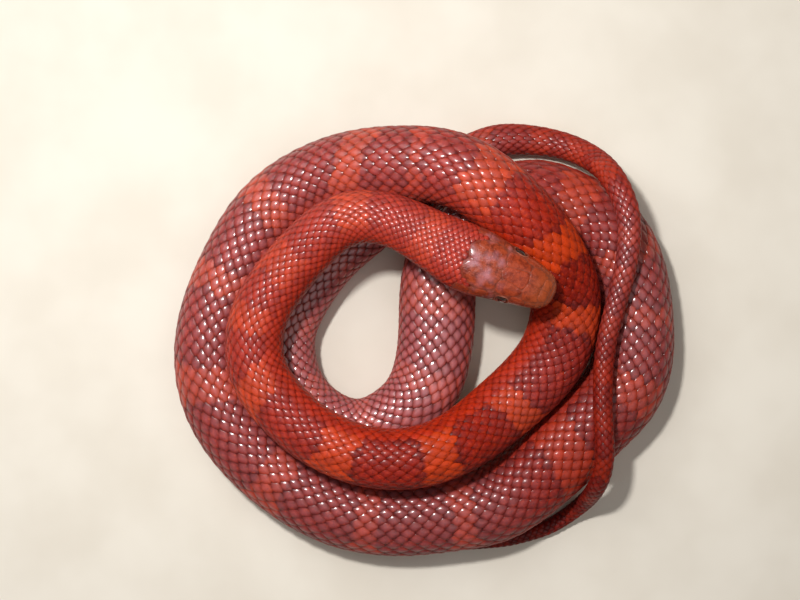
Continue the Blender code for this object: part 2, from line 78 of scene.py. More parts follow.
OUTER_LOOP = (
    (-43.1, 35.4, 0.1), (-51.6, 22.5, 0.0), (-57.8, 7.8, 0.0), (-59.8, -5.0, 0.0),
    (-57.6, -17.2, 0.0), (-52.3, -26.7, 0.0), (-44.9, -34.9, 0.0), (-34.6, -42.6, 0.0),
    (-22.1, -48.3, 0.0), (-5.9, -50.3, 0.0), (8.2, -48.9, 0.0), (20.1, -46.3, 0.0),
    (30.9, -39.2, 0.0), (41.0, -30.3, 0.0), (49.9, -21.7, 0.0), (55.5, -15.5, 0.0),
    (58.7, -7.8, 0.0), (59.5, 1.8, 0.0), (58.9, 10.0, 0.0), (56.7, 20.8, 0.0),
)
HIDDEN_ARCH = (
    (52.0, 29.3, 0.0), (42.0, 36.4, 0.0), (31.4, 39.8, 0.0), (21.6, 37.6, 0.0),
    (12.5, 32.2, 0.0), (6.5, 23.7, 0.0), (4.0, 13.7, 0.0), (3.6, 3.8, 0.0),
)
HAIRPIN = (
    (2.6, -5.6, 0.0), (-2.0, -17.2, 0.0), (-9.1, -23.1, 0.0), (-19.0, -26.0, 0.0),
    (-29.3, -22.1, 0.0), (-35.9, -14.9, 0.0), (-38.9, -5.9, 0.0), (-38.7, 2.3, 0.0),
    (-34.7, 11.4, 0.0), (-29.0, 19.5, 0.0), (-23.2, 25.4, 0.0), (-16.4, 30.4, 0.0),
    (-6.2, 38.6, 0.0), (3.7, 47.4, 0.0), (13.3, 53.4, 0.0),
)
TAIL = (
    (21.0, 56.5, 0.0), (27.7, 57.0, 0.0), (34.9, 56.3, 0.3), (41.6, 54.5, 2.0),
    (47.4, 51.1, 6.4), (50.9, 46.9, 13.0), (53.1, 42.3, 17.6), (54.8, 37.8, 19.0),
    (55.9, 32.3, 19.7), (55.9, 26.8, 19.9), (55.1, 20.5, 19.9), (53.5, 13.6, 19.6),
    (51.4, 6.0, 19.5), (49.6, -2.8, 19.2), (48.9, -10.5, 19.7), (48.8, -19.8, 20.2),
    (49.2, -27.4, 20.4), (49.3, -32.2, 19.8), (49.0, -36.2, 18.4), (48.2, -39.9, 15.7),
    (47.2, -43.4, 10.9), (45.5, -47.0, 4.6), (41.7, -51.0, 0.6), (35.8, -54.7, 0.0),
    (30.2, -56.8, 0.0), (24.4, -58.4, 0.0), (17.8, -59.4, 0.0), (10.6, -60.2, 0.0),
    (3.3, -60.7, 0.0), (-3.3, -60.8, 0.0),
)
ROUTE = HEAD_AND_NECK + INNER_LOOP + CROSSING + OUTER_LOOP + HIDDEN_ARCH + HAIRPIN + TAIL

# Body width at distances from the snout, the first one being the nominal width under the head
BODY_WIDTH: Table = (
    (0, 12.4), (30, 13.6), (44, 14.6), (52, 14.4), (70, 15.3), (104, 16.0), (150, 16.6),
    (170, 17.2), (192, 18.6), (215, 19.5), (252, 19.6), (280, 20.5), (310, 21.5), (354, 22.0),
    (400, 22.0), (418, 21.8), (445, 22.4), (500, 22.7), (558, 22.6), (600, 22.0), (655, 21.8),
    (677, 20.6), (697, 17.9), (717, 16.9), (745, 16.2), (763, 15.6), (784, 12.8), (798, 11.5),
    (822, 9.5), (840, 8.0), (856, 7.2), (880, 6.6), (900, 5.8), (925, 5.5), (953, 5.1),
    (966, 4.8), (976, 4.4), (990, 3.5), (1009, 2.0), (1017, 0.9),
)
# The head: distance from the snout, half width, crown above the lips and jaw below them
HEAD_SHAPE: Table = (
    (0.0, 1.7, 1.3, 0.8), (0.5, 3.0, 2.3, 1.5), (1.5, 4.1, 3.3, 2.0), (3.0, 5.0, 4.0, 2.4),
    (5.0, 5.7, 4.6, 2.7), (8.0, 6.4, 5.2, 3.0), (12.5, 7.2, 5.8, 3.5), (17.0, 8.0, 6.3, 4.0),
    (22.0, 8.8, 6.6, 4.5), (27.0, 8.9, 6.6, 4.8), (31.0, 8.4, 6.5, 5.2), (36.0, 7.9, 6.6, 5.7),
    (44.0, 7.3, 6.64, 5.91),
)
# Height of the mouth line above the widest line, at distances from the snout
MOUTH_LINE: Table = (
    (0, -0.58), (1, -0.55), (5, -0.35), (10, -0.45), (15, -0.30), (20, 0.05), (25, -0.05),
    (27, -0.45),
)
# Length of one scale row along the body, and the count of rows across the back
ROW_LENGTH: Table = (
    (0, 1.4), (24, 1.5), (40, 2.1), (60, 2.8), (85, 3.0), (150, 3.4), (250, 3.65), (350, 3.95),
    (600, 3.95), (660, 3.6), (760, 3.5), (838, 2.9), (900, 2.55), (960, 2.1), (1017, 1.5),
)
ROW_COUNT: Table = (
    (0, 25), (28, 31), (60, 31), (110, 29), (150, 27), (600, 27), (700, 25), (790, 21), (838, 17),
    (870, 13), (910, 11), (950, 9), (985, 7), (1016, 5),
)
# How far the back is turned towards the animal's left, as a share of the half girth
BACK_TURN: Table = (
    (0, 0.0), (32, 0.0), (58, 0.15), (100, 0.17), (120, 0.15), (145, 0.09), (165, 0.07),
    (195, 0.14), (230, 0.15), (250, 0.11), (275, 0.06), (300, 0.09), (330, 0.17), (365, 0.14),
    (400, 0.09), (440, 0.06), (480, 0.04), (510, 0.01), (540, 0.05), (660, 0.05), (780, 0.05),
    (840, 0.10), (880, 0.17), (930, 0.12), (1016, 0.0),
)
# How strongly the scales are washed with mauve, which grows towards the rear: partly their own
# colour, partly painted sheen, which the same numbers set
# On the hairpin it rises past 1 to paint in light thrown up from the floor
MAUVE_AND_SHEEN: Table = (
    (0, 0.1), (40, 0.35), (100, 0.3), (130, 0.25), (155, 0.12), (180, 0.08), (198, 0.25),
    (222, 0.2), (238, 0.05), (258, 0.08), (272, 0.4), (300, 0.6), (370, 0.75), (400, 0.65),
    (480, 0.6), (505, 0.2), (525, 0.3), (560, 0.75), (600, 0.35), (640, 1.1), (680, 1.4),
    (785, 1.4), (810, 0.7), (830, 0.3), (860, 0.2), (880, 0.6), (900, 0.4), (920, 0.1), (1017, 0.1),
)
# How much darker the saddles are than the ground between them
SADDLE_DEPTH: Table = (
    (0, 0.1), (45, 0.2), (100, 0.3), (118, 0.4), (143, 0.6), (165, 0.75), (185, 0.6), (210, 0.7),
    (235, 0.8), (258, 0.45), (285, 0.5), (340, 0.6), (440, 0.65), (500, 0.65), (550, 0.55),
    (600, 0.4), (650, 0.5), (700, 0.3), (780, 0.3), (815, 0.45), (845, 0.25), (880, 0.4),
    (940, 0.4), (1017, 0.3),
)
# The orange gaps between the dark saddles: middle, half length, how far the left side lies ahead
# of the right in millimetres for a whole half girth, and how bright the orange is from 0 to 1
ORANGE_GAPS: Table = (
    (35.5, 2.8, 0, 0.5), (57.5, 3.8, 0, 0.8), (81, 4.8, 0, 0.55), (98, 3.2, 0, 0.7),
    (116.5, 4.3, -8, 0.95), (143.5, 4.8, 0, 0.95), (170, 3.8, 0, 1), (195.5, 4.2, -7, 1),
    (227.5, 3.7, 9, 1), (248.5, 3.8, 5, 1), (272, 4.4, 0, 1), (290, 1.6, 0, 0.35),
    (308, 4.2, 13, 0.9), (337.5, 4.0, 3, 0.75), (362.5, 3.3, 0, 0.6), (391, 4.6, 6, 0.6),
    (423, 4.2, -4, 0.5), (451, 2.9, 0, 0.4), (478, 3.0, 0, 0.4), (512, 5.6, 5, 0.55),
    (536.5, 3.9, 0, 0.6), (557, 2.2, 0, 0.5), (575, 3.0, 0, 0.8), (595.2, 4.4, 0, 0.9),
    (622.5, 4.0, 0, 0.8), (649.5, 4.0, 0, 0.55), (672.5, 3.2, 0, 0.45), (695.6, 3.6, 0, 0.45),
    (717.8, 3.6, 0, 0.45), (739.8, 3.4, 0, 0.45), (761.2, 3.2, 0, 0.5), (781.3, 3.2, 0, 0.6),
    (799.4, 3.0, 0, 0.7), (815.3, 3.0, 0, 0.7), (832.4, 2.8, 0, 0.35), (845.3, 3.6, 0, 0.4),
    (859.5, 4.4, 0, 0.4), (879.6, 2.2, 0, 0.5), (891.1, 2.6, 0, 0.5), (904.6, 2.6, 0, 0.55),
    (917.7, 2.8, 0, 0.4), (930.7, 2.6, 0, 0.4), (943.5, 2.4, 0, 0.7), (957, 2.4, 0, 0.7),
    (969, 2.2, 0, 0.7), (980.8, 2.2, 0, 0.7), (991.8, 2.0, 0, 0.7), (1001.8, 1.8, 0, 0.7),
    (1011.8, 1.8, 0, 0.7),
)
# How much darker the animal is coloured, which matters most on the tail: painted shade where
# the coils face away from the light, and on the tail partly painted shade, partly its own darker
# colour
SHADE_AND_DARK_TAIL: Table = (
    (0, 0), (370, 0), (430, 0.3), (480, 0.35), (540, 0.4), (600, 0.3), (640, 0.1), (680, 0),
    (785, 0), (810, 0.1), (830, 0.35), (870, 0.35), (900, 0.6), (940, 0.8), (975, 1.0), (1017, 1.0),
)


def smooth_table(table: Table, at: Array) -> Array:
    """Reads a table of stations without overshoot between them.

    Each span is a cubic whose end slopes are the harmonic mean of the slopes beside it, or level
    where those differ in sign.

    Args:
        table: rows of a place and one or more values.
        at: places to read.

    Returns:
        One row of values for each place.
    """
    rows = np.asarray(table, float)
    x, y = rows[:, 0], rows[:, 1:]
    step = np.diff(x)[:, None]
    rise = np.diff(y, axis=0) / step
    slope = np.zeros_like(y)
    slope[0], slope[-1] = rise[0], rise[-1]
    product, total = rise[:-1] * rise[1:], rise[:-1] + rise[1:]
    mean = 2 * product / np.where(total == 0, 1, total)
    slope[1:-1] = np.where(product > 0, mean, 0)
    at = np.clip(np.asarray(at, float).ravel(), x[0], x[-1])
    k = np.clip(np.searchsorted(x, at, side="right") - 1, 0, len(x) - 2)
    t = ((at - x[k]) / (x[k + 1] - x[k]))[:, None]
    h = step[k]
    return ((2 * t**3 - 3 * t**2 + 1) * y[k] + (t**3 - 2 * t**2 + t) * h * slope[k]
            + (3 * t**2 - 2 * t**3) * y[k + 1] + (t**3 - t**2) * h * slope[k + 1])


def read_table(table: Table, at: Array) -> Array:
    """Reads the one value of a table at places of any shape."""
    at = np.asarray(at, float)
    return smooth_table(table, at)[:, 0].reshape(at.shape)


def natural_spline(x: Array, y: Array, at: Array) -> Array:
    """A smooth curve through points, with even bending and straight ends.

    Args:
        x: the parameter of each point.
        y: the points, one a row.
        at: parameters to read.

    Returns:
        The curve's points.
    """
    n, h = len(x), np.diff(x)
    matrix, right = np.eye(n), np.zeros((n, y.shape[1]))
    for i in range(1, n - 1):
        matrix[i, i - 1:i + 2] = h[i - 1], 2 * (h[i - 1] + h[i]), h[i]
        right[i] = 6 * ((y[i + 1] - y[i]) / h[i] - (y[i] - y[i - 1]) / h[i - 1])
    bend = np.linalg.solve(matrix, right)
    k = np.clip(np.searchsorted(x, at, side="right") - 1, 0, n - 2)
    span, a, b = h[k][:, None], (x[k + 1] - at)[:, None], (at - x[k])[:, None]
    return ((bend[k] * a**3 + bend[k + 1] * b**3) / (6 * span)
            + (y[k] / span - bend[k] * span / 6) * a
            + (y[k + 1] / span - bend[k + 1] * span / 6) * b)


def smooth_step(low: float, high: float, value: Array) -> Array:
    """Rises from 0 at low to 1 at high, level at both ends."""
    t = np.clip((np.asarray(value, float) - low) / (high - low), 0, 1)
    return t * t * (3 - 2 * t)


def unit(vectors: Array) -> Array:
    """The same directions with length one."""
    return vectors / np.maximum(np.linalg.norm(vectors, axis=-1, keepdims=True), 1e-12)


@dataclass
class BodyMap:
    """The whole surface of the animal, unrolled on a fine grid.

    Attributes:
        step: spacing of the grid along the body.
        columns: grid columns from the back to the belly on one side.
        head_end: distance at which the head's own sections end.
        jaw_hinge: distance at which the jaw's section starts to turn into the body's.
        above: roundness of the head's and the body's sections above the widest line.
        below: the same below it.
        crown: height of the back over the widest line, as a share of the width.
        belly: height of the widest line over the belly, as a share of the width.
        depth: how deep the section would reach if the belly weren't flat, as the same share.
        length: length of the whole animal along its back.
        s: distance of each station from the snout.
        half: half the way round at each station.
        local: side distance and height of each grid point in its own section.
        points: the grid points in space.
        normals: their outward normals.
        axes: middle, left, up and forward of each station.
    """

    step: float = 0.5
    columns: int = 97
    head_end: float = 44.0
    jaw_hinge: float = 27.5
    above: tuple[float, float] = (2.6, 2.15)
    below: tuple[float, float] = (2.6, 2.7)
    crown: float = 0.455
    belly: float = 0.405
    depth: float = 0.425
    length: float = field(init=False)
    s: Array = field(init=False)
    half: Array = field(init=False)
    local: Array = field(init=False)
    points: Array = field(init=False)
    normals: Array = field(init=False)
    axes: Array = field(init=False)

    def __post_init__(self) -> None:
        """Measures the route, then lays the sections on it."""
        knots = np.asarray(ROUTE, float)
        chord = np.r_[0, np.cumsum(np.linalg.norm(np.diff(knots, axis=0), axis=1))]
        line = natural_spline(chord, knots, np.linspace(0, chord[-1], 6000))
        line[:, 2] = np.maximum(line[:, 2], 0)
        along = np.r_[0, np.cumsum(np.linalg.norm(np.diff(line, axis=0), axis=1))]
        line[:, 2] += self.belly * read_table(BODY_WIDTH, along)
        self.length = float(along[-1])
        self.s = np.linspace(0, self.length, int(self.length / self.step) + 1)
        centre = self._place(self.s, along, line)
        forward = unit(self._place(np.maximum(self.s - 0.4, 0), along, line)
                       - self._place(np.minimum(self.s + 0.4, self.length), along, line))
        left = unit(np.cross((0.0, 0.0, 1.0), forward))
        up = np.cross(forward, left)
        self.axes = np.stack([centre, left, up, forward], axis=1)
        side, height = self._sections()
        self.local = np.stack([side, height], axis=-1)
        self.points = (centre[:, None] + side[..., None] * left[:, None]
                       + height[..., None] * up[:, None])
        self.points[..., 2] = np.maximum(self.points[..., 2], 0)
        self.normals = self._outward()

    @staticmethod
    def _place(at: Array, along: Array, line: Array) -> Array:
        """Points of the line at distances from the snout."""
        return np.stack([np.interp(at, along, line[:, i]) for i in range(3)], axis=-1)

    def _sections(self) -> tuple[Array, Array]:
        """Sections of every station, spaced evenly by the arc from back to belly.

        A section is a superellipse: the side distance is the half width times the cosine to the
        power 2 over the roundness, the height is the crown or the depth times the sine to the
        same power, and the height is never below the flat of the belly.

        Returns:
            The side distance and the height of each grid point, right side first.
        """
        width = read_table(BODY_WIDTH, self.s)
        head = smooth_table(HEAD_SHAPE, self.s)
        in_head = self.s < self.head_end
        half = np.where(in_head, head[:, 0], width / 2)
        crown = np.where(in_head, head[:, 1], self.crown * width)
        belly = np.where(in_head, head[:, 2], self.belly * width)
        turn = smooth_step(self.jaw_hinge, self.head_end, self.s)
        deeper = 1 + turn * (self.depth / self.belly - 1)
        depth = np.where(in_head, belly * deeper, self.depth * width)
        above = self.above[0] + turn * (self.above[1] - self.above[0])
        below = self.below[0] + turn * (self.below[1] - self.below[0])
        angle = np.linspace(math.pi / 2, -math.pi / 2, 361)
        c, n = np.abs(np.cos(angle)), np.sin(angle)
        power = np.where(n > 0, 2 / above[:, None], 2 / below[:, None])
        side = half[:, None] * c**power
        tall = np.where(n > 0, crown[:, None], depth[:, None])
        height = np.maximum(tall * np.sign(n) * np.abs(n)**power, -belly[:, None])
        arc = np.cumsum(np.hypot(np.diff(side, axis=1), np.diff(height, axis=1)), axis=1)
        arc = np.concatenate([np.zeros((len(arc), 1)), arc], axis=1)
        self.half = arc[:, -1]
        row = 2.0 * np.arange(len(arc))[:, None]
        known = (arc / self.half[:, None] + row).ravel()
        wanted = (np.linspace(0, 1, self.columns)[None] + row).ravel()
        shape = (len(arc), self.columns)
        side = np.interp(wanted, known, side.ravel()).reshape(shape)
        height = np.interp(wanted, known, height.ravel()).reshape(shape)
        side = np.concatenate([-side[:, :0:-1], side], axis=1)
        return side, np.concatenate([height[:, :0:-1], height], axis=1)

    def _outward(self) -> Array:
        """Normals, as the cross product of the steps across and along the grid.

        Returns:
            One outward unit vector for each grid point.
        """
        across = np.gradient(self.points, axis=1)
        across[:, 0] = across[:, -1] = self.points[:, 1] - self.points[:, -2]
        return unit(np.cross(across, np.gradient(self.points, axis=0)))

    def half_girth(self, s: Array) -> Array:
        """Half the way round the body, in millimetres, at distances from the snout."""
        return np.interp(s, self.s, self.half)

    def read(self, grid: Array, s: Array, share: Array) -> Array:
        """Reads a grid of the map between its points, blending the four nearest.

        Args:
            grid: values on the map, one row a station.
            s: distances from the snout.
            share: shares of the way round, from -1 to 1.

        Returns:
            The value at each place.
        """
        x = np.clip(s / self.length * (len(self.s) - 1), 0, len(self.s) - 1.001)
        last = 2 * (self.columns - 1)
        y = np.clip((share + 1) / 2 * last, 0, last - 0.001)
        i, j = x.astype(int), y.astype(int)
        a, b = (x - i)[..., None], (y - j)[..., None]
        return ((grid[i, j] * (1 - b) + grid[i, j + 1] * b) * (1 - a)
                + (grid[i + 1, j] * (1 - b) + grid[i + 1, j + 1] * b) * a)

    def place(self, s: Array, share: Array, lift: Array | float = 0.0) -> Array:
        """Points at a height above the surface, in millimetres, never below the floor.

        Args:
            s: distances from the snout.
            share: shares of the way round.
            lift: heights over the surface along its normal.

        Returns:
            The points.
        """
        lift = np.broadcast_to(lift, np.shape(s))[..., None]
        points = self.read(self.points, s, share) + lift * self.read(self.normals, s, share)
        points[..., 2] = np.maximum(points[..., 2], 0)
        return points

    def share_of(self, s: float, axis: int, value: float) -> float:
        """The share, on the left, at which the section reaches a side distance or a height.

        Args:
            s: distance from the snout.
            axis: 0 to look for a side distance on the crown, 1 to look for a height.
            value: the distance or the height in millimetres.

        Returns:
            The share of the way round.
        """
        row = self.local[int(round(s / self.length * (len(self.s) - 1))), self.columns - 1:]
        share = np.linspace(0, 1, self.columns)
        if axis == 1:
            return float(np.interp(-value, -row[:, 1], share))
        top = int(np.argmax(row[:, 0])) + 1
        return float(np.interp(value, row[:top, 0], share[:top]))


def turn_of_back(s: Array) -> Array:
    """The share by which the middle of the back lies to the left of the top, at distances."""
    return read_table(BACK_TURN, s)


@dataclass
class Pattern:
    """The markings as plain numbers at places of the body, for the materials to colour.

    Attributes:
        body: the map of the body.
        flare: how much longer a gap grows at the sides of the back, in millimetres.
        flare_reach: share of the half girth over which it grows.
    """

    body: BodyMap
    flare: float = 1.1
    flare_reach: float = 0.30

    def marks(self, s: Array, share: Array) -> dict[str, Array]:
        """The numbers that the materials read.

        A gap reaches its half length to both sides of its middle. The middle slides along with
        the place across, by the gap's lean, and the gap widens with the square of that place.

        Args:
            s: distances from the snout.
            share: shares of the way round, from -1 to 1.

        Returns:
            The depth inside the nearest gap in millimetres (negative outside it), the brightness
            of that gap, the way round from the middle of the back, the mauve wash, partly painted
            sheen, the depth of the saddles' colour, the darkening by painted shade and by the
            darker tail, and the distance itself.
        """
        across = (share - turn_of_back(s) + 1) % 2 - 1
        around = np.abs(across)
        gap, bright = np.full(s.shape, -20.0), np.zeros(s.shape)
        for middle, half, lean, strength in ORANGE_GAPS:
            far = half + self.flare * np.minimum(around / self.flare_reach, 1.3)**2
            depth = far - np.abs(s - middle + lean * across)
            nearer = depth > gap
            gap, bright = np.where(nearer, depth, gap), np.where(nearer, strength, bright)
        return {"gap": np.clip(gap, -8, 8), "bright": bright, "around": around,
                "mauve": read_table(MAUVE_AND_SHEEN, s), "depth": read_table(SADDLE_DEPTH, s),
                "shade_and_dark_tail": read_table(SHADE_AND_DARK_TAIL, s), "along": s}


def build_mesh(name: str, points: Array, faces: list[Array],
               smooth: bool = True) -> bpy.types.Object:
    """Puts points in millimetres and blocks of faces into a mesh object at the origin.

    Args:
        name: the object's name.
        points: one point a row.
        faces: arrays of corners, each with as many columns as its faces have corners.
        smooth: whether the faces are shaded smooth.

    Returns:
        The new object.
    """
    mesh = bpy.data.meshes.new(name)
    mesh.vertices.add(len(points))
    mesh.vertices.foreach_set("co", (np.asarray(points) * MM).astype(np.float32).ravel())
    corners = np.concatenate([block.ravel() for block in faces]).astype(np.int32)
    sizes = np.concatenate([np.full(len(block), block.shape[1]) for block in faces])
    mesh.loops.add(len(corners))
    mesh.loops.foreach_set("vertex_index", corners)
    mesh.polygons.add(len(sizes))
    starts = np.r_[0, np.cumsum(sizes)[:-1]].astype(np.int32)
    mesh.polygons.foreach_set("loop_start", starts)
    mesh.update(calc_edges=True)
    mesh.validate()
    mesh.polygons.foreach_set("use_smooth", np.full(len(sizes), smooth))
    made = bpy.data.objects.new(name, mesh)
    bpy.context.scene.collection.objects.link(made)
    return made


def store(piece: bpy.types.Object, values: dict[str, Array]) -> None:
    """Keeps values of the points of a piece as named attributes for its materials.

    Args:
        piece: the piece.
        values: name and values of each attribute, one value a point.
    """
    for name, value in values.items():
        kept = piece.data.attributes.new(name, "FLOAT", "POINT")
        kept.data.foreach_set("value", np.asarray(value, np.float32).ravel())


def store_uv(piece: bpy.types.Object, name: str, uv: Array) -> None:
    """Gives a piece a UV map from one place for each of its points.

    Args:
        piece: the piece.
        name: the map's name.
        uv: the place of each point.
    """
    mesh = piece.data
    corner = np.zeros(len(mesh.loops), np.int32)
    mesh.loops.foreach_get("vertex_index", corner)
    layer = mesh.uv_layers.new(name=name)
    layer.uv.foreach_set("vector", np.asarray(uv, np.float32)[corner].ravel())


class Layout(Enum):
    """How a scale sits: an overlapping scale of the back, or a broad plate of the belly."""

    BACK = "back"
    BELLY = "belly"


@dataclass(frozen=True)
class ScaleShape:
    """One scale as a low closed shell, over a rounded outline.

    The outline is a superellipse in width and length. Rings of points run inwards from it, and a
    skirt drops from it to a flat underside.

    Attributes:
        points_round: points on each ring.
        rings: how far out each ring lies, from the middle to the rim.
        roundness: 1 is a lozenge, 2 an ellipse, more is squarer.
        tilt: height of the rear edge over the front one, as a share of the length.
        dome: height of the middle over the sides, as a share of the width.
        arch: how far the root and the tip drop from the middle, as a share of the length.
        keel: height of the ridge along the middle, as a share of the width.
        skirt: how far the rim drops to the underside, as a share of the length.
        keel_width: half width of that ridge, as a share of the half width.
    """

    points_round: int = 12
    rings: tuple[float, ...] = (0.42, 0.78, 1.0)
    roundness: float = 1.6
    tilt: float = 0.075
    dome: float = 0.085
    arch: float = 0.050
    keel: float = 0.012
    skirt: float = 0.07
    keel_width: float = 0.16

    def ridge(self, u: Array, rim: Array) -> Array:
        """Height of the keel as a share of the width: a bell curve across, off at the rim."""
        return self.keel * np.exp(-(u / self.keel_width)**2) * (rim < 0.99)

    def template(self) -> tuple[Array, Array, Array, Array]:
        """The scale's points before it is set on the body.

        Returns:
            Place across from -1 to 1, place along from -1 (root) to 1 (tip), height as a pair of
            shares of the width and of the length, and nearness to the rim.
        """
        turn = 2 * np.pi * np.arange(self.points_round) / self.points_round
        c, n = np.cos(turn), np.sin(turn)
        power = 2 / self.roundness
        across = np.sign(n) * np.abs(n)**power
        along = np.sign(c) * np.abs(c)**power
        along = np.where(along > 0, along, along * 0.96)
        u, v, rim, drop = [np.zeros(1)], [np.zeros(1)], [np.zeros(1)], [np.zeros(1)]
        for reach, down in [(ring, 0.0) for ring in self.rings] + [(0.97, 1.0)]:
            u.append(reach * across)
            v.append(reach * along)
            rim.append(np.full(self.points_round, reach))
            drop.append(np.full(self.points_round, down))
        u, v, rim, drop = (np.concatenate(x) for x in (u, v, rim, drop))
        by_width = self.dome * (1 - rim**2.4) + self.ridge(u, rim)
        bow = self.arch * v**2 * (1 + v**2) / 2
        by_length = self.tilt * (v + 1) / 2 - bow - self.skirt * drop
        return u, v, np.stack([by_width, by_length]), rim

    def faces(self) -> list[Array]:
        """Corners of the faces: a fan in the middle, bands out to the skirt, and the underside.

        Returns:
            Blocks of faces with the same count of corners.
        """
        n, bands = self.points_round, len(self.rings)
        i = np.arange(n)
        j = (i + 1) % n
        fan = np.stack([np.zeros(n, int), 1 + i, 1 + j], axis=1)
        quads = [np.stack([1 + n * r + i, 1 + n * (r + 1) + i, 1 + n * (r + 1) + j,
                           1 + n * r + j], axis=1) for r in range(bands)]
        under = (1 + n * bands + i)[None, ::-1]
        return [fan, np.concatenate(quads), under]


@dataclass
class ScaleSet:
    """Scales of one kind, each by its middle, its size and its place in the markings.

    Attributes:
        s: distance of each middle from the snout.
        column: arc from the middle of the back in columns, signed.
        long: half lengths.
        wide: half widths in columns.
        tone: one random number from 0 to 1 each.
    """

    s: Array
    column: Array
    long: Array
    wide: Array
    tone: Array

    def part(self, keep: Array) -> "ScaleSet":
        """Only the scales that are marked True in keep."""
        return ScaleSet(self.s[keep], self.column[keep], self.long[keep], self.wide[keep],
                        self.tone[keep])


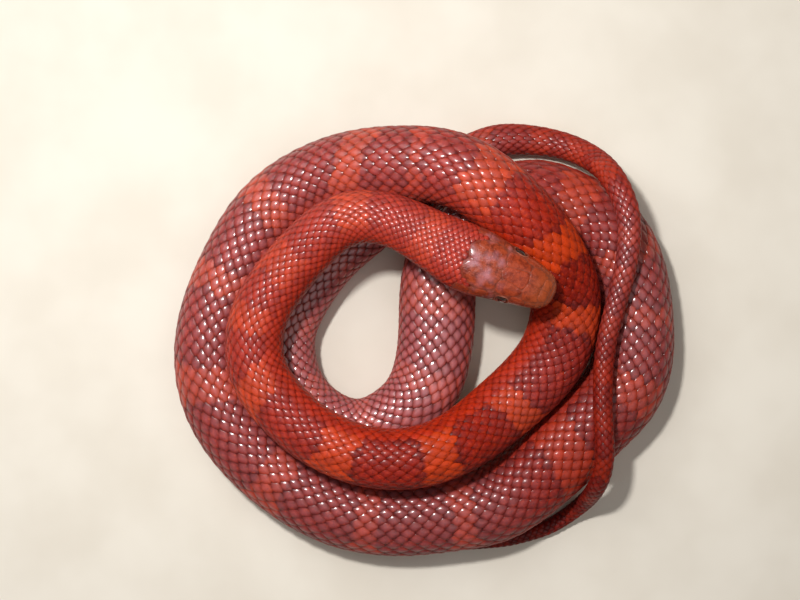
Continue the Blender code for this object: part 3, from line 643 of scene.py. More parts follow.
@dataclass
class Coat:
    """Lays the scales of the back, the flanks and the tail, and the plates of the belly.

    Attributes:
        body: the map of the body.
        shields: the head's shields, which small scales stay clear of.
        pattern: the markings.
        belly_share: share of the half girth that the belly plates take.
        overlap: half length of a scale, as a share of the spacing of the rows in its column.
        width: half width of a scale in columns.
        first: distance at which the nape scales start.
        last: distance of the last scale.
        gulars_end: distance at which throat scales give way to belly plates.
        cuts: distances at which the coat is parted into pieces.
        seed: seed of the small variations.
        evenness: how much of a scale's markings is read at its middle.
        ragged: how far a scale may fall out of the edge of a marking, in millimetres.
        vent: distance at which single belly plates give way to pairs.
        root_depth: how deep the roots lie under the solids, as a share of the row length.
        keeled: columns on each side of the middle whose scales have a keel.
        margin: how far a scale's middle stays clear of a shield, in millimetres.
        patch: size of a scale's patch on the UV map.
    """

    body: BodyMap
    shields: "HeadShields"
    pattern: Pattern
    belly_share: float = 0.235
    overlap: float = 0.70
    width: float = 0.90
    first: float = 13.0
    last: float = 1013.0
    gulars_end: float = 31.0
    cuts: tuple[float, ...] = (0.0, 135.0, 330.0, 540.0, 780.0, 1100.0)
    seed: int = 7
    evenness: float = 0.5
    ragged: float = 0.6
    vent: float = 838.0
    root_depth: float = 0.145
    keeled: int = 6
    margin: float = 0.35
    patch: float = 0.003

    def pitch(self, s: Array) -> Array:
        """Width of one column in millimetres: the back's arc over the count of rows."""
        back = 2 * (1 - self.belly_share) * self.body.half_girth(s)
        return back / read_table(ROW_COUNT, s)

    def row_places(self, first: float, last: float, half: bool) -> Array:
        """Distances of the rows, spaced by the row length, or by half of it.

        The count of rows up to a place is the sum of each fine step over the row length there.

        Args:
            first: distance of the first row.
            last: distance that no row passes.
            half: whether the rows lie half a length apart, as staggered ones do.

        Returns:
            The distances.
        """
        fine = np.linspace(first, last, 8000)
        count = np.r_[0, np.cumsum(np.diff(fine) / read_table(ROW_LENGTH, fine[1:]))]
        count *= 2 if half else 1
        return np.interp(np.arange(0, int(count[-1]) + 1), count, fine)

    def back_scales(self) -> ScaleSet:
        """Every scale of the back, flanks, nape and throat, in staggered rows.

        Returns:
            The scales, without those that would lie on a shield of the head.
        """
        random = np.random.default_rng(self.seed)
        rows = self.row_places(self.first, self.last, half=True)
        column = np.arange(-40, 41)
        s, j = np.meshgrid(rows, column, indexing="ij")
        index = np.arange(len(rows))[:, None]
        keep = (index + column) % 2 == 0
        pitch = self.pitch(rows)[:, None]
        reach = np.abs(column) * pitch
        half = self.body.half_girth(rows)[:, None]
        count = np.round((read_table(ROW_COUNT, rows)[:, None] - 1) / 2)
        keep &= np.where(s < self.gulars_end, reach < half - 0.1 * pitch, np.abs(j) <= count)
        s, j = s[keep], j[keep].astype(float)
        s += random.normal(0, 0.02, len(s)) * read_table(ROW_LENGTH, s)
        j += random.normal(0, 0.025, len(s))
        long = self.overlap * read_table(ROW_LENGTH, s)
        flank = smooth_step(0.5, 0.75, np.abs(j) * self.pitch(s) / self.body.half_girth(s))
        wide = self.width * (1 + 0.08 * flank) * np.ones(len(s))
        made = ScaleSet(s, j, long, wide, random.random(len(s)))
        arc = np.abs(made.column * self.pitch(made.s) + turn_of_back(s) * self.body.half_girth(s))
        return made.part(self.shields.clear_of(made.s + 0.15 * long, arc, self.margin))

    def belly_plates(self) -> ScaleSet:
        """One broad plate for each row of the belly, and a pair for each under the tail.

        Returns:
            The plates.
        """
        random = np.random.default_rng(self.seed + 1)
        rows = self.row_places(self.gulars_end, self.last, half=False)
        body, tail = rows[rows < self.vent], rows[rows >= self.vent]
        s = np.concatenate([body, tail, tail])
        pair = np.concatenate([np.zeros(len(body)), np.ones(len(tail)), -np.ones(len(tail))])
        long = self.overlap * read_table(ROW_LENGTH, s)
        girth = self.body.half_girth(s) / self.pitch(s)
        side = np.where(pair == 0, 1.0, 1 - self.belly_share / 2 - 0.01)
        column = girth * side * np.where(pair < 0, -1, 1)
        wide = girth * self.belly_share * np.where(pair == 0, 1.08, 0.56)
        return ScaleSet(s, column, long, wide, random.random(len(s)))

    def lift_base(self, s: Array) -> Array:
        """How deep the roots lie under the solids, so that the tips reach their surface."""
        return -self.root_depth * read_table(ROW_LENGTH, s)

    def lay(self, name: str, scales: ScaleSet, shape: ScaleShape, layout: Layout,
            span: tuple[float, float]) -> bpy.types.Object:
        """Sets copies of a scale on the body and joins them into one piece.

        A point of a scale lies at the scale's middle, plus its place along times the half length,
        and plus its place across times the half width in columns, so that columns bend with the
        body. It is lifted along the surface's normal.

        Args:
            name: the piece's name.
            scales: the scales.
            shape: the shell that is copied.
            layout: whether they lie on the back or the belly.
            span: distances between which the piece lies, for its UV map.

        Returns:
            The joined piece.
        """
        u, v, height, rim = shape.template()
        s = scales.s[:, None] + v * scales.long[:, None]
        s = np.clip(s, 0, self.body.length - 0.3)
        columns = scales.column[:, None] + u * scales.wide[:, None]
        half, pitch = self.body.half_girth(s), self.pitch(s)
        share = (columns * pitch / half + turn_of_back(s) + 1) % 2 - 1
        width = 2 * scales.wide[:, None] * self.pitch(scales.s)[:, None]
        if layout is Layout.BELLY:
            width = 2 * self.pitch(scales.s)[:, None]
        length = 2 * scales.long[:, None]
        keeled = np.where(np.abs(scales.column[:, None]) < self.keeled, 1.0, 0.0)
        lift = self.lift_base(s) + height[0] * width + height[1] * length
        lift -= (1 - keeled) * width * shape.ridge(u, rim)
        points = self.body.place(s.ravel(), share.ravel(), lift.ravel())
        count = len(u)
        offset = count * np.arange(len(scales.s))
        faces = [(block[None] + offset[:, None, None]).reshape(-1, block.shape[1])
                 for block in shape.faces()]
        piece = build_mesh(name, points, faces)
        ones = np.ones((len(scales.s), 1))
        marks = self.pattern.marks(*self.mark_places(scales, s, share))
        if layout is Layout.BACK:
            marks["gap"] += np.repeat(self.ragged * (2 * scales.tone - 1), count)
        store(piece, marks)
        store(piece, {"tone": np.repeat(scales.tone, count), "rim": ones * rim, "tip": ones * v})
        store_uv(piece, "OFBake", self.root_patches(scales, u, v, span))
        return piece

    def mark_places(self, scales: ScaleSet, s: Array, share: Array) -> tuple[Array, Array]:
        """Where the points of a scale read the markings: drawn in towards the scale's middle.

        So each scale is of nearly one colour, and the markings are ragged along the scales.

        Args:
            scales: the scales.
            s: distances of their points, one scale a row.
            share: shares of their points.

        Returns:
            Distances and shares, one after the other.
        """
        middle = (scales.column * self.pitch(scales.s) / self.body.half_girth(scales.s)
                  + turn_of_back(scales.s))[:, None]
        off = (share - middle + 1) % 2 - 1
        s = scales.s[:, None] + (1 - self.evenness) * (s - scales.s[:, None])
        share = (middle + (1 - self.evenness) * off + 1) % 2 - 1
        return s.ravel(), share.ravel()

    def root_patches(self, scales: ScaleSet, u: Array, v: Array,
                     span: tuple[float, float]) -> Array:
        """A patch about 0.003 across for each scale, at its root's place on the unrolled skin.

        Args:
            scales: the scales.
            u: places across of a scale's points.
            v: places along of them.
            span: distances between which the piece lies.

        Returns:
            The place of every point on the UV map.
        """
        reach = span[1] - span[0]
        root = scales.s - scales.long
        x = 0.02 + 0.96 * np.clip((root - span[0]) / reach, 0, 1)
        y = 0.5 + 0.96 * scales.column * self.pitch(scales.s) / reach
        size = self.patch / 2
        patch = np.stack([x[:, None] + size * v, y[:, None] + size * u], axis=-1)
        return patch.reshape(-1, 2)

    def build(self) -> dict[str, list[bpy.types.Object]]:
        """Builds the coat.

        Returns:
            The pieces of the back and those of the belly.
        """
        back, belly = self.back_scales(), self.belly_plates()
        shape = ScaleShape()
        made: dict[str, list[bpy.types.Object]] = {"back": [], "belly": []}
        names = ("nape_and_neck", "fore_body", "mid_body", "rear_body", "tail")
        for name, low, high in zip(names, self.cuts, self.cuts[1:]):
            keep = (back.s >= low) & (back.s < high)
            high = min(high, self.body.length)
            made["back"].append(self.lay(f"scales_{name}", back.part(keep), shape, Layout.BACK,
                                         (low, high)))
        plate = ScaleShape(points_round=20, roundness=3.2, tilt=0.06, dome=0.03, keel=0.0,
                           skirt=0.05)
        made["belly"].append(self.lay("belly_plates", belly, plate, Layout.BELLY,
                                      (0.0, self.body.length)))
        LOG.info("laid %d scales and %d belly plates", len(back.s), len(belly.s))
        return made


@dataclass
class HeadShields:
    """The large shields of the head, as outlines on the unrolled map.

    Outlines are given as distance from the snout and, for CROWN, distance sideways, for FACE,
    height above the widest line, and for CHIN, arc from the chin's middle. The shields of a lip
    lie between the stations of UPPER_LIP or LOWER_LIP.

    Attributes:
        body: the map of the body.
        rise: height of a shield's field over its seams.
        seam: width over which a shield rises from its seam.
        swell: how much more a wide shield swells towards its middle.
        scales_from: distance behind which no place is on the head any more.
        seed: seed of the shields' tones.
        outlines: the finished outlines, as distances and arcs on the left side.
    """

    body: BodyMap
    rise: float = 0.09
    seam: float = 0.13
    swell: float = 0.09
    scales_from: float = 30.0
    seed: int = 3
    outlines: list[Array] = field(init=False)

    # Where small scales begin, at shares of the way round from the back to the chin
    SCALES_START: ClassVar[Table] = (
        (0, 23.5), (0.2, 23.8), (0.30, 20.5), (0.44, 23.6), (0.56, 25.4), (0.66, 25.2),
        (0.74, 13.6), (1.0, 13.6),
    )
    CROWN: ClassVar[Outlines] = {
        "internasal": ((1.75, 0.0), (1.55, 2.1), (1.9, 2.9), (3.0, 3.3), (4.2, 2.6), (4.3, 0.0)),
        "prefrontal": ((4.3, 0.0), (4.2, 2.6), (3.3, 3.5), (5.0, 4.5), (7.9, 4.8), (8.6, 2.6),
                       (8.0, 0.0)),
        "frontal": ((8.0, -2.0), (8.0, 0.0), (8.6, 2.5), (12.0, 2.05), (14.5, 1.6), (15.4, 0.0),
                    (15.4, -2.0)),
        "supraocular": ((8.6, 2.6), (8.5, 3.6), (9.8, 4.9), (12.6, 5.7), (15.1, 5.5), (15.3, 3.3),
                        (14.5, 1.6), (12.0, 2.05)),
        "parietal": ((15.4, 0.0), (14.5, 1.6), (15.3, 3.3), (15.5, 5.2), (18.4, 6.5), (22.6, 5.7),
                     (24.8, 2.8), (23.4, 0.0)),
    }
    FACE: ClassVar[Outlines] = {
        "nasal": ((1.2, 1.35), (2.3, 1.40), (2.3, 3.2), (1.6, 2.7)),
        "postnasal": ((2.3, 1.40), (3.6, 1.45), (3.6, 3.3), (2.3, 3.2)),
        "loreal": ((3.6, 1.45), (6.3, 1.5), (6.3, 3.5), (3.6, 3.3)),
        "preocular": ((6.3, 1.5), (8.6, 1.5), (10.5, 1.2), (10.8, 3.0), (10.4, 4.5), (8.3, 4.3),
                      (6.3, 3.5)),
        "postocular_low": ((14.7, 1.3), (16.9, 1.6), (17.0, 3.3), (14.9, 2.9)),
        "postocular_high": ((14.9, 2.9), (17.0, 3.3), (16.8, 4.8), (15.0, 4.7)),
        "temporal_low": ((16.9, 1.6), (20.9, 1.85), (21.1, 3.3), (17.0, 3.3)),
        "temporal_high": ((17.0, 3.3), (21.1, 3.3), (20.6, 4.7), (18.6, 4.9), (16.8, 4.7)),
        "temple_low": ((20.9, 1.85), (24.3, 1.75), (24.9, 2.6), (24.4, 3.2), (21.1, 3.3)),
        "temple_high": ((21.1, 3.3), (24.4, 3.2), (24.2, 4.6), (20.9, 4.7)),
    }
    UPPER_LIP: ClassVar[tuple[float, ...]] = (1.3, 4.0, 6.6, 9.2, 11.9, 14.7, 18.2, 22.0, 25.6)
    LOWER_LIP: ClassVar[tuple[float, ...]] = (1.4, 3.6, 6.0, 8.6, 11.4, 14.6, 18.2, 21.8, 25.2)
    # Edges next to the mouth line and away from it, over that line, and the seams' slant
    UPPER_EDGES: ClassVar[tuple[float, float, float]] = (0.22, 1.95, 0.35)
    LOWER_EDGES: ClassVar[tuple[float, float, float]] = (-0.22, -1.75, -0.3)
    CHIN: ClassVar[Outlines] = {
        "front_chin": ((2.2, 0.0), (3.2, 1.5), (6.0, 2.5), (8.6, 2.2), (8.9, 0.0)),
        "rear_chin": ((8.9, 0.5), (8.8, 2.2), (10.6, 2.8), (13.6, 2.3), (13.2, 1.2)),
    }

    def __post_init__(self) -> None:
        """Turns every outline into distances and arcs on the left side of the map."""
        found: dict[str, list[tuple[float, float]]] = {}
        for name, corners in self.CROWN.items():
            found[name] = [self._corner(s, 0, y) for s, y in corners]
        for name, corners in self.FACE.items():
            found[name] = [self._corner(s, 1, z) for s, z in corners]
        found.update(self._lips("upper", self.UPPER_LIP, self.UPPER_EDGES))
        found.update(self._lips("lower", self.LOWER_LIP, self.LOWER_EDGES))
        for name, corners in self.CHIN.items():
            found[name] = [(s, float(self.body.half_girth(s)) - a) for s, a in corners]
        self.outlines = [self._rounded(np.array(corners)) for corners in found.values()]

    def _corner(self, s: float, axis: int, value: float) -> tuple[float, float]:
        """A corner's distance and arc, from a side distance or a height of the section.

        Args:
            s: distance from the snout.
            axis: 0 for a side distance, where less than 0 is past the middle, 1 for a height.
            value: the side distance or the height.

        Returns:
            The distance and the arc.
        """
        past = axis == 0 and value < 0
        share = self.body.share_of(s, axis, -value if past else value)
        arc = share * float(self.body.half_girth(s))
        return s, -arc if past else arc

    def _lips(self, row: str, stations: tuple[float, ...],
              edges: tuple[float, float, float]) -> dict[str, list[tuple[float, float]]]:
        """The shields of one lip, between stations, with seams that lean a little.

        Args:
            row: the lip's name.
            stations: distances of the seams.
            edges: heights over the mouth line of the near and the far edge, and the slant.

        Returns:
            The corners of each shield by its name.
        """
        near, far, slant = edges
        lip = np.asarray(MOUTH_LINE)
        made = {}
        for i, (a, b) in enumerate(zip(stations, stations[1:])):
            corners = []
            for s, z in ((a, near), (b, near), (b + slant, far), (a + slant, far)):
                height = z + float(np.interp(s, lip[:, 0], lip[:, 1]))
                corners.append(self._corner(s, 1, height))
            made[f"{row}_lip_{i}"] = corners
        return made

    @staticmethod
    def _rounded(outline: Array) -> Array:
        """The same outline with each corner cut off at a sixth of its edges.

        Args:
            outline: corners in order.

        Returns:
            Twice as many corners.
        """
        after = np.roll(outline, -1, axis=0)
        cut = np.stack([outline * 5 / 6 + after / 6, outline / 6 + after * 5 / 6], axis=1)
        return cut.reshape(-1, 2)

    @staticmethod
    def inside(points: Array, outline: Array) -> Array:
        """Distance to an outline's nearest edge: positive inside, negative outside.

        Args:
            points: places as distance and arc.
            outline: corners in order.

        Returns:
            The signed distance of each place.
        """
        nearest = np.full(len(points), np.inf)
        odd = np.zeros(len(points), bool)
        for a, b in zip(outline, np.roll(outline, -1, axis=0)):
            edge = b - a
            t = np.clip(((points - a) @ edge) / max(edge @ edge, 1e-9), 0, 1)
            nearest = np.minimum(nearest, np.linalg.norm(points - a - t[:, None] * edge, axis=1))
            crosses = (a[1] > points[:, 1]) != (b[1] > points[:, 1])
            rise = b[1] - a[1] if abs(b[1] - a[1]) > 1e-12 else 1e-12
            at = a[0] + (points[:, 1] - a[1]) / rise * edge[0]
            odd ^= crosses & (points[:, 0] < at)
        return np.where(odd, nearest, -nearest)

    def clear_of(self, s: Array, arc: Array, margin: float) -> Array:
        """Which places lie behind the shields, where the small scales grow.

        Args:
            s: distances from the snout.
            arc: unsigned arcs from the middle of the back.
            margin: how far clear of a shield's edge a scale's middle stays.

        Returns:
            True where a scale may lie.
        """
        keep = s > self.scales_from
        near = np.flatnonzero(~keep)
        share = arc[near] / self.body.half_girth(s[near])
        free = s[near] > np.interp(share, *np.transpose(self.SCALES_START))
        points = np.stack([s[near], arc[near]], axis=1)
        for outline in self.outlines:
            free &= self.inside(points, outline) < -margin
        keep[near] = free
        return keep

    def relief(self, s: Array, arc: Array) -> tuple[Array, Array, Array]:
        """Height of the shields' fields over their seams.

        A field rises as one minus a bell curve of the distance from its outline, and swells a
        little more towards its middle.

        Args:
            s: distances from the snout.
            arc: unsigned arcs from the middle of the back.

        Returns:
            The height in millimetres, one random tone for each shield, and the distance to
            the nearest shield, or 0 on one.
        """
        points = np.stack([s, arc], axis=1)
        height, tone = np.zeros(len(s)), np.full(len(s), 0.5)
        away = np.full(len(s), 9.0)
        random = np.random.default_rng(self.seed).random(len(self.outlines))
        for outline, shade in zip(self.outlines, random):
            low, high = outline.min(0) - 1.0, outline.max(0) + 1.0
            near = np.flatnonzero(((points >= low) & (points <= high)).all(axis=1))
            depth = self.inside(points[near], outline)
            away[near] = np.minimum(away[near], np.maximum(-depth, 0))
            within = near[depth > 0]
            depth = depth[depth > 0]
            height[within] = (self.rise * (1 - np.exp(-(depth / self.seam)**2))
                              + self.swell * np.tanh(depth / 1.5))
            tone[within] = shade
        return height, tone, away


@dataclass
class Skin:
    """The continuous skin: a fine grid with relief on the head, and a plain tube behind it.

    Attributes:
        body: the map of the body.
        shields: the head's shields.
        coat: the scales, for how deep the skin lies under them.
        pattern: the markings.
        fine_step: spacing of the rings on the head.
        fine_end: distance at which the fine grid ends.
        fine_round: points on a ring of the head.
        coarse_round: points on a ring of the body.
        coarse_step: spacing of the rings on the body.
        eye_place: distance of the eyes from the snout.
        eye_height: height of the eyes above the widest line.
        eye_radius: half width of an eye.
        nostril_place: distance of the nostrils from the snout.
        nostril_height: height of the nostrils above the widest line.
        mouth_end: distance at which the corner of the mouth has closed.
        mouth_depth: depth of the groove between the lips.
        mouth_width: its half width.
        socket_depth: depth of an eye socket.
        brow: height of the rim round a socket.
        nostril_depth: depth of a nostril.
        snout_bulge: how far the tip of the snout stands out of its first ring.
    """

    body: BodyMap
    shields: HeadShields
    coat: Coat
    pattern: Pattern
    fine_step: float = 0.16
    fine_end: float = 29.0
    fine_round: int = 320
    coarse_round: int = 40
    coarse_step: float = 1.7
    eye_place: float = 12.4
    eye_height: float = 2.5
    eye_radius: float = 1.7
    nostril_place: float = 2.35
    nostril_height: float = 1.9
    mouth_end: float = 27.2
    mouth_depth: float = 0.42
    mouth_width: float = 0.14
    socket_depth: float = 1.2
    brow: float = 0.16
    nostril_depth: float = 0.8
    snout_bulge: float = 0.28

    def head_lift(self, s: Array, share: Array, height: Array) -> tuple[Array, dict[str, Array]]:
        """Relief of the head: shields, mouth, nostrils and eye sockets.

        The mouth is a bell-shaped groove along the mouth line, a nostril and a socket are smooth
        steps down within a radius, and each has a low bell-shaped rim round it. Behind the
        shields the skin sinks to the depth of the coat.

        Args:
            s: distances from the snout.
            share: shares of the way round.
            height: heights above the widest line.

        Returns:
            The lift along the normal and the masks that the material reads.
        """
        girth = self.body.half_girth(s)
        arc = np.abs(share) * girth
        fields, tone, away = self.shields.relief(s, arc)
        plate = self.shields.rise * smooth_step(1.35, 1.15, s) * (height > -0.4)
        fields = np.maximum(fields, plate)
        lips = np.asarray(MOUTH_LINE)
        gap = height - np.interp(s, lips[:, 0], lips[:, 1])
        mouth = np.exp(-(gap / self.mouth_width)**2)
        mouth *= 1 - smooth_step(self.mouth_end - 1.6, self.mouth_end, s)
        lift = fields - self.mouth_depth * mouth
        eye_arc = self.body.share_of(self.eye_place, 1, self.eye_height) * girth
        ring = np.hypot(s - self.eye_place, arc - eye_arc) / self.eye_radius
        brow = np.exp(-((ring - 1.10) / 0.09)**2)
        lift = np.where(ring < 1.25, 0.10 + (lift - 0.10) * smooth_step(1.05, 1.25, ring), lift)
        lift += self.brow * brow - self.socket_depth * (1 - smooth_step(0.92, 1.02, ring))
        nose_arc = self.body.share_of(self.nostril_place, 1, self.nostril_height) * girth
        nose = np.hypot((s - self.nostril_place) * 0.85, arc - nose_arc)
        nostril = 1 - smooth_step(0.22, 0.55, nose)
        lift += 0.08 * np.exp(-((nose - 0.7) / 0.22)**2) - self.nostril_depth * nostril
        behind = np.maximum(smooth_step(24.0, 29.0, s),
                            smooth_step(0.15, 0.6, away) * smooth_step(12.5, 14.0, s))
        lift = lift * (1 - behind) + self.coat.lift_base(s) * behind
        masks = {"tone": tone, "mouth": mouth, "nostril": nostril, "ring": ring,
                 "field": np.clip(fields / self.shields.rise, 0, 1),
                 "lip": np.exp(-(gap / 1.6)**4) * (1 - smooth_step(24.5, 26.5, s))}
        return lift, masks

    def build(self) -> bpy.types.Object:
        """Builds the skin as one closed mesh.

        The snout is closed by rings that shrink to its tip. The fine grid of the head meets the
        coarse one of the body in a ring of faces with one coarse edge and several fine ones, which
        lies under the scales of the nape.

        Returns:
            The skin.
        """
        n, m = self.fine_round, self.coarse_round
        share = -1 + 2 * np.arange(n) / n
        cap = np.array([0.25, 0.5, 0.72, 0.9])
        s_fine = np.linspace(0, self.fine_end, int(self.fine_end / self.fine_step))
        s, t = (g.ravel() for g in np.meshgrid(s_fine, share, indexing="ij"))
        local = self.body.read(self.body.local, s, t)
        lift, masks = self.head_lift(s, t, local[:, 1])
        head = self.body.place(s, t, lift)
        centre, left, up, forward = self.body.axes[0]
        ring = self.body.read(self.body.local, np.zeros(n), share)
        nose = []
        for reach in cap:
            y, z = ring[:, 0] * reach, ring[:, 1] * reach
            groove = 0.3 * np.exp(-((z - MOUTH_LINE[0][1]) / self.mouth_width)**2)
            out = self.snout_bulge * (1 - reach**2) - groove
            nose.append(centre + y[:, None] * left + z[:, None] * up + out[:, None] * forward)
        tip = (centre + self.snout_bulge * forward)[None]
        end = self.body.length
        steps = int((end - 1.2 - self.fine_end) / self.coarse_step)
        s_body = np.linspace(self.fine_end + 0.8, end - 0.4, steps)
        coarse = -1 + 2 * np.arange(m) / m
        sb, tb = (g.ravel() for g in np.meshgrid(s_body, coarse, indexing="ij"))
        trunk = self.body.place(sb, tb, self.coat.lift_base(sb))
        pole = self.body.axes[-1:, 0]
        points = np.concatenate([tip, *nose, head, trunk, pole])
        faces = self._faces(len(cap) + len(s_fine), len(s_body))
        skin = build_mesh("skin", points, faces)
        before, after = 1 + n * len(cap), len(trunk) + 1
        s_all = np.concatenate([np.zeros(before), s, sb, [end]])
        t_all = np.concatenate([np.zeros(before), t, tb, [0.0]])
        store(skin, self.pattern.marks(s_all, t_all))
        rest = {"ring": 9.0, "tone": 0.5}
        for name, value in masks.items():
            front = np.full(before, rest.get(name, value[0]))
            back = np.full(after, rest.get(name, 0.0))
            store(skin, {name: np.concatenate([front, value, back])})
        store(skin, {"headness": 1 - smooth_step(20.0, 30.0, s_all),
                     "girth": np.abs(t_all)})
        return skin

    def _faces(self, fine: int, coarse: int) -> list[Array]:
        """Corners of the skin's faces.

        Args:
            fine: rings of the head.
            coarse: rings of the body.

        Returns:
            Blocks of faces with the same count of corners.
        """
        n, m = self.fine_round, self.coarse_round
        i = np.arange(n)
        j = (i + 1) % n
        blocks = [np.stack([np.zeros(n, int), 1 + j, 1 + i], axis=1)]
        rows = 1 + n * np.arange(fine - 1)[:, None]
        quads = np.stack([rows + i, rows + j, rows + n + j, rows + n + i], axis=-1)
        blocks.append(quads.reshape(-1, 4))
        start, first = 1 + n * (fine - 1), 1 + n * fine
        k = np.arange(m)
        each = n // m
        fan = [first + (k + 1) % m, first + k]
        wide = np.stack([start + (k * each + e) % n for e in range(each + 1)], axis=1)
        blocks.append(np.concatenate([np.stack(fan, axis=1), wide], axis=1))
        q = (k + 1) % m
        rows = first + m * np.arange(coarse - 1)[:, None]
        quads = np.stack([rows + k, rows + q, rows + m + q, rows + m + k], axis=-1)
        blocks.append(quads.reshape(-1, 4))
        end = first + m * (coarse - 1)
        pole = first + m * coarse
        blocks.append(np.stack([end + k, end + q, np.full(m, pole)], axis=1))
        return blocks


@dataclass
class Eyes:
    """Both eyes, each a lens-shaped ball under its clear scale.

    Attributes:
        body: the map of the body.
        skin: the skin, for where the eyes sit.
        bulge: half thickness of the ball.
        proud: how far it stands out of the head.
        rings: rings of points from the pupil to the back.
        points_round: points on each ring.
    """

    body: BodyMap
    skin: Skin
    bulge: float = 1.0
    proud: float = 0.45
    rings: int = 40
    points_round: int = 64

    def build(self, name: str, side: int) -> bpy.types.Object:
        """One eye, as a flattened ball about its own axis.

        A point of the ball lies at its middle, plus the radius times the sine of the angle from
        the axis in the plane of the face, plus the bulge times the cosine along the axis.

        Args:
            name: the piece's name.
            side: 1 for the animal's left eye, -1 for its right eye.

        Returns:
            The eye.
        """
        at = self.skin.eye_place
        share = side * self.body.share_of(at, 1, self.skin.eye_height)
        s, t = np.array([at]), np.array([share])
        out = unit(self.body.read(self.body.normals, s, t))[0]
        ahead = self.body.axes[int(round(at / self.body.step)), 3]
        over = unit(np.cross(out, ahead))
        ahead = unit(np.cross(over, out))
        middle = self.body.place(s, t)[0] + out * (self.proud - self.bulge)
        lean = np.linspace(0, np.pi, self.rings)
        turn = 2 * np.pi * np.arange(self.points_round) / self.points_round
        a, b = np.meshgrid(lean[1:-1], turn, indexing="ij")
        radius = self.skin.eye_radius
        grid = (middle + radius * (np.sin(a) * np.cos(b))[..., None] * ahead
                + radius * (np.sin(a) * np.sin(b))[..., None] * over
                + self.bulge * np.cos(a)[..., None] * out)
        points = np.concatenate([[middle + self.bulge * out], grid.reshape(-1, 3),
                                 [middle - self.bulge * out]])
        n, rows = self.points_round, self.rings - 2
        i = np.arange(n)
        j = (i + 1) % n
        row = 1 + n * np.arange(rows - 1)[:, None]
        quads = np.stack([row + i, row + n + i, row + n + j, row + j], axis=-1).reshape(-1, 4)
        last = 1 + n * (rows - 1)
        ends = [np.stack([np.zeros(n, int), 1 + i, 1 + j], axis=1),
                np.stack([last + j, last + i, np.full(n, 1 + n * rows)], axis=1)]
        eye = build_mesh(name, points, [ends[0], quads, ends[1]])
        if np.dot(np.cross(ahead, over), out) < 0:
            eye.data.flip_normals()
        spread = np.r_[0, np.repeat(np.sin(lean[1:-1]), n), 0]
        spread[1 + n * (rows // 2):] = 1.0
        store(eye, {"spread": spread})
        return eye


class Graph:
    """A small hand for building node trees: each call adds a node and gives its output."""

    def __init__(self, tree: bpy.types.NodeTree) -> None:
        """Starts on a node tree."""
        self.tree = tree

    def node(self, kind: str, **settings: object) -> bpy.types.Node:
        """Adds a node.

        Args:
            kind: the node's type.
            settings: its properties by name.

        Returns:
            The node.
        """
        made = self.tree.nodes.new(kind)
        for name, value in settings.items():
            setattr(made, name, value)
        return made

    def feed(self, socket: bpy.types.NodeSocket, value: object) -> None:
        """Links an output to a socket, or sets the socket's own value.

        Args:
            socket: the input.
            value: an output, a plain value, or None to leave the input as it is.
        """
        if isinstance(value, bpy.types.NodeSocket):
            self.tree.links.new(value, socket)
        elif value is not None:
            socket.default_value = value

    def math(self, operation: str, a: object, b: object = None,
             c: object = None) -> bpy.types.NodeSocket:
        """One sum on numbers.

        Args:
            operation: the kind of sum.
            a: the first number.
            b: the second one.
            c: the third one.

        Returns:
            The result.
        """
        made = self.node("ShaderNodeMath", operation=operation)
        for socket, value in zip(made.inputs, (a, b, c)):
            self.feed(socket, value)
        return made.outputs[0]

    def ramp(self, value: object, low: float, high: float, start: float = 0.0,
             end: float = 1.0) -> bpy.types.NodeSocket:
        """A smooth rise from start to end while the value goes from low to high.

        Args:
            value: the number that is read.
            low: where the rise starts.
            high: where it ends.
            start: result at low and before it.
            end: result at high and past it.

        Returns:
            The result.
        """
        made = self.node("ShaderNodeMapRange", interpolation_type="SMOOTHSTEP")
        for name, number in (("Value", value), ("From Min", low), ("From Max", high),
                             ("To Min", start), ("To Max", end)):
            self.feed(made.inputs[name], number)
        return made.outputs[0]

    def mix(self, share: object, a: object, b: object, how: str = "MIX") -> bpy.types.NodeSocket:
        """A mix of two colours.

        Args:
            share: how much of the second colour there is.
            a: the first colour.
            b: the second colour.
            how: the way in which the second one is laid over the first.

        Returns:
            The mixed colour.
        """
        made = self.node("ShaderNodeMix", data_type="RGBA", blend_type=how)
        self.feed(made.inputs[0], share)
        self.feed(made.inputs[6], a)
        self.feed(made.inputs[7], b)
        return made.outputs[2]

    def noise(self, scale: float, detail: float = 2.0, rough: float = 0.5) -> bpy.types.NodeSocket:
        """Noise in the piece's own place, as a number from 0 to 1.

        Args:
            scale: waves in a metre.
            detail: how many finer layers lie over the coarse one.
            rough: how strong those are.

        Returns:
            The number.
        """
        place = self.node("ShaderNodeTexCoord").outputs["Object"]
        made = self.node("ShaderNodeTexNoise")
        self.feed(made.inputs["Vector"], place)
        self.feed(made.inputs["Scale"], scale)
        self.feed(made.inputs["Detail"], detail)
        self.feed(made.inputs["Roughness"], rough)
        return made.outputs["Fac"]

    def attribute(self, name: str) -> bpy.types.NodeSocket:
        """A number that the piece keeps at its points."""
        return self.node("ShaderNodeAttribute", attribute_name=name).outputs["Fac"]

    def group(self, tree: bpy.types.NodeTree, **inputs: object) -> bpy.types.Node:
        """Places a node group.

        Args:
            tree: the group.
            inputs: what its inputs are fed, by name.

        Returns:
            The group's node.
        """
        made = self.node("ShaderNodeGroup", node_tree=tree)
        for name, value in inputs.items():
            self.feed(made.inputs[name], value)
        return made


def srgb(red: int, green: int, blue: int) -> Colour:
    """A colour as the shader takes it, from the usual 0 to 255 numbers.

    Args:
        red: its red.
        green: its green.
        blue: its blue.

    Returns:
        The linear colour, opaque.
    """
    def linear(value: int) -> float:
        """One channel, by the standard curve."""
        share = value / 255
        return share / 12.92 if share <= 0.04045 else ((share + 0.055) / 1.055)**2.4
    return linear(red), linear(green), linear(blue), 1.0


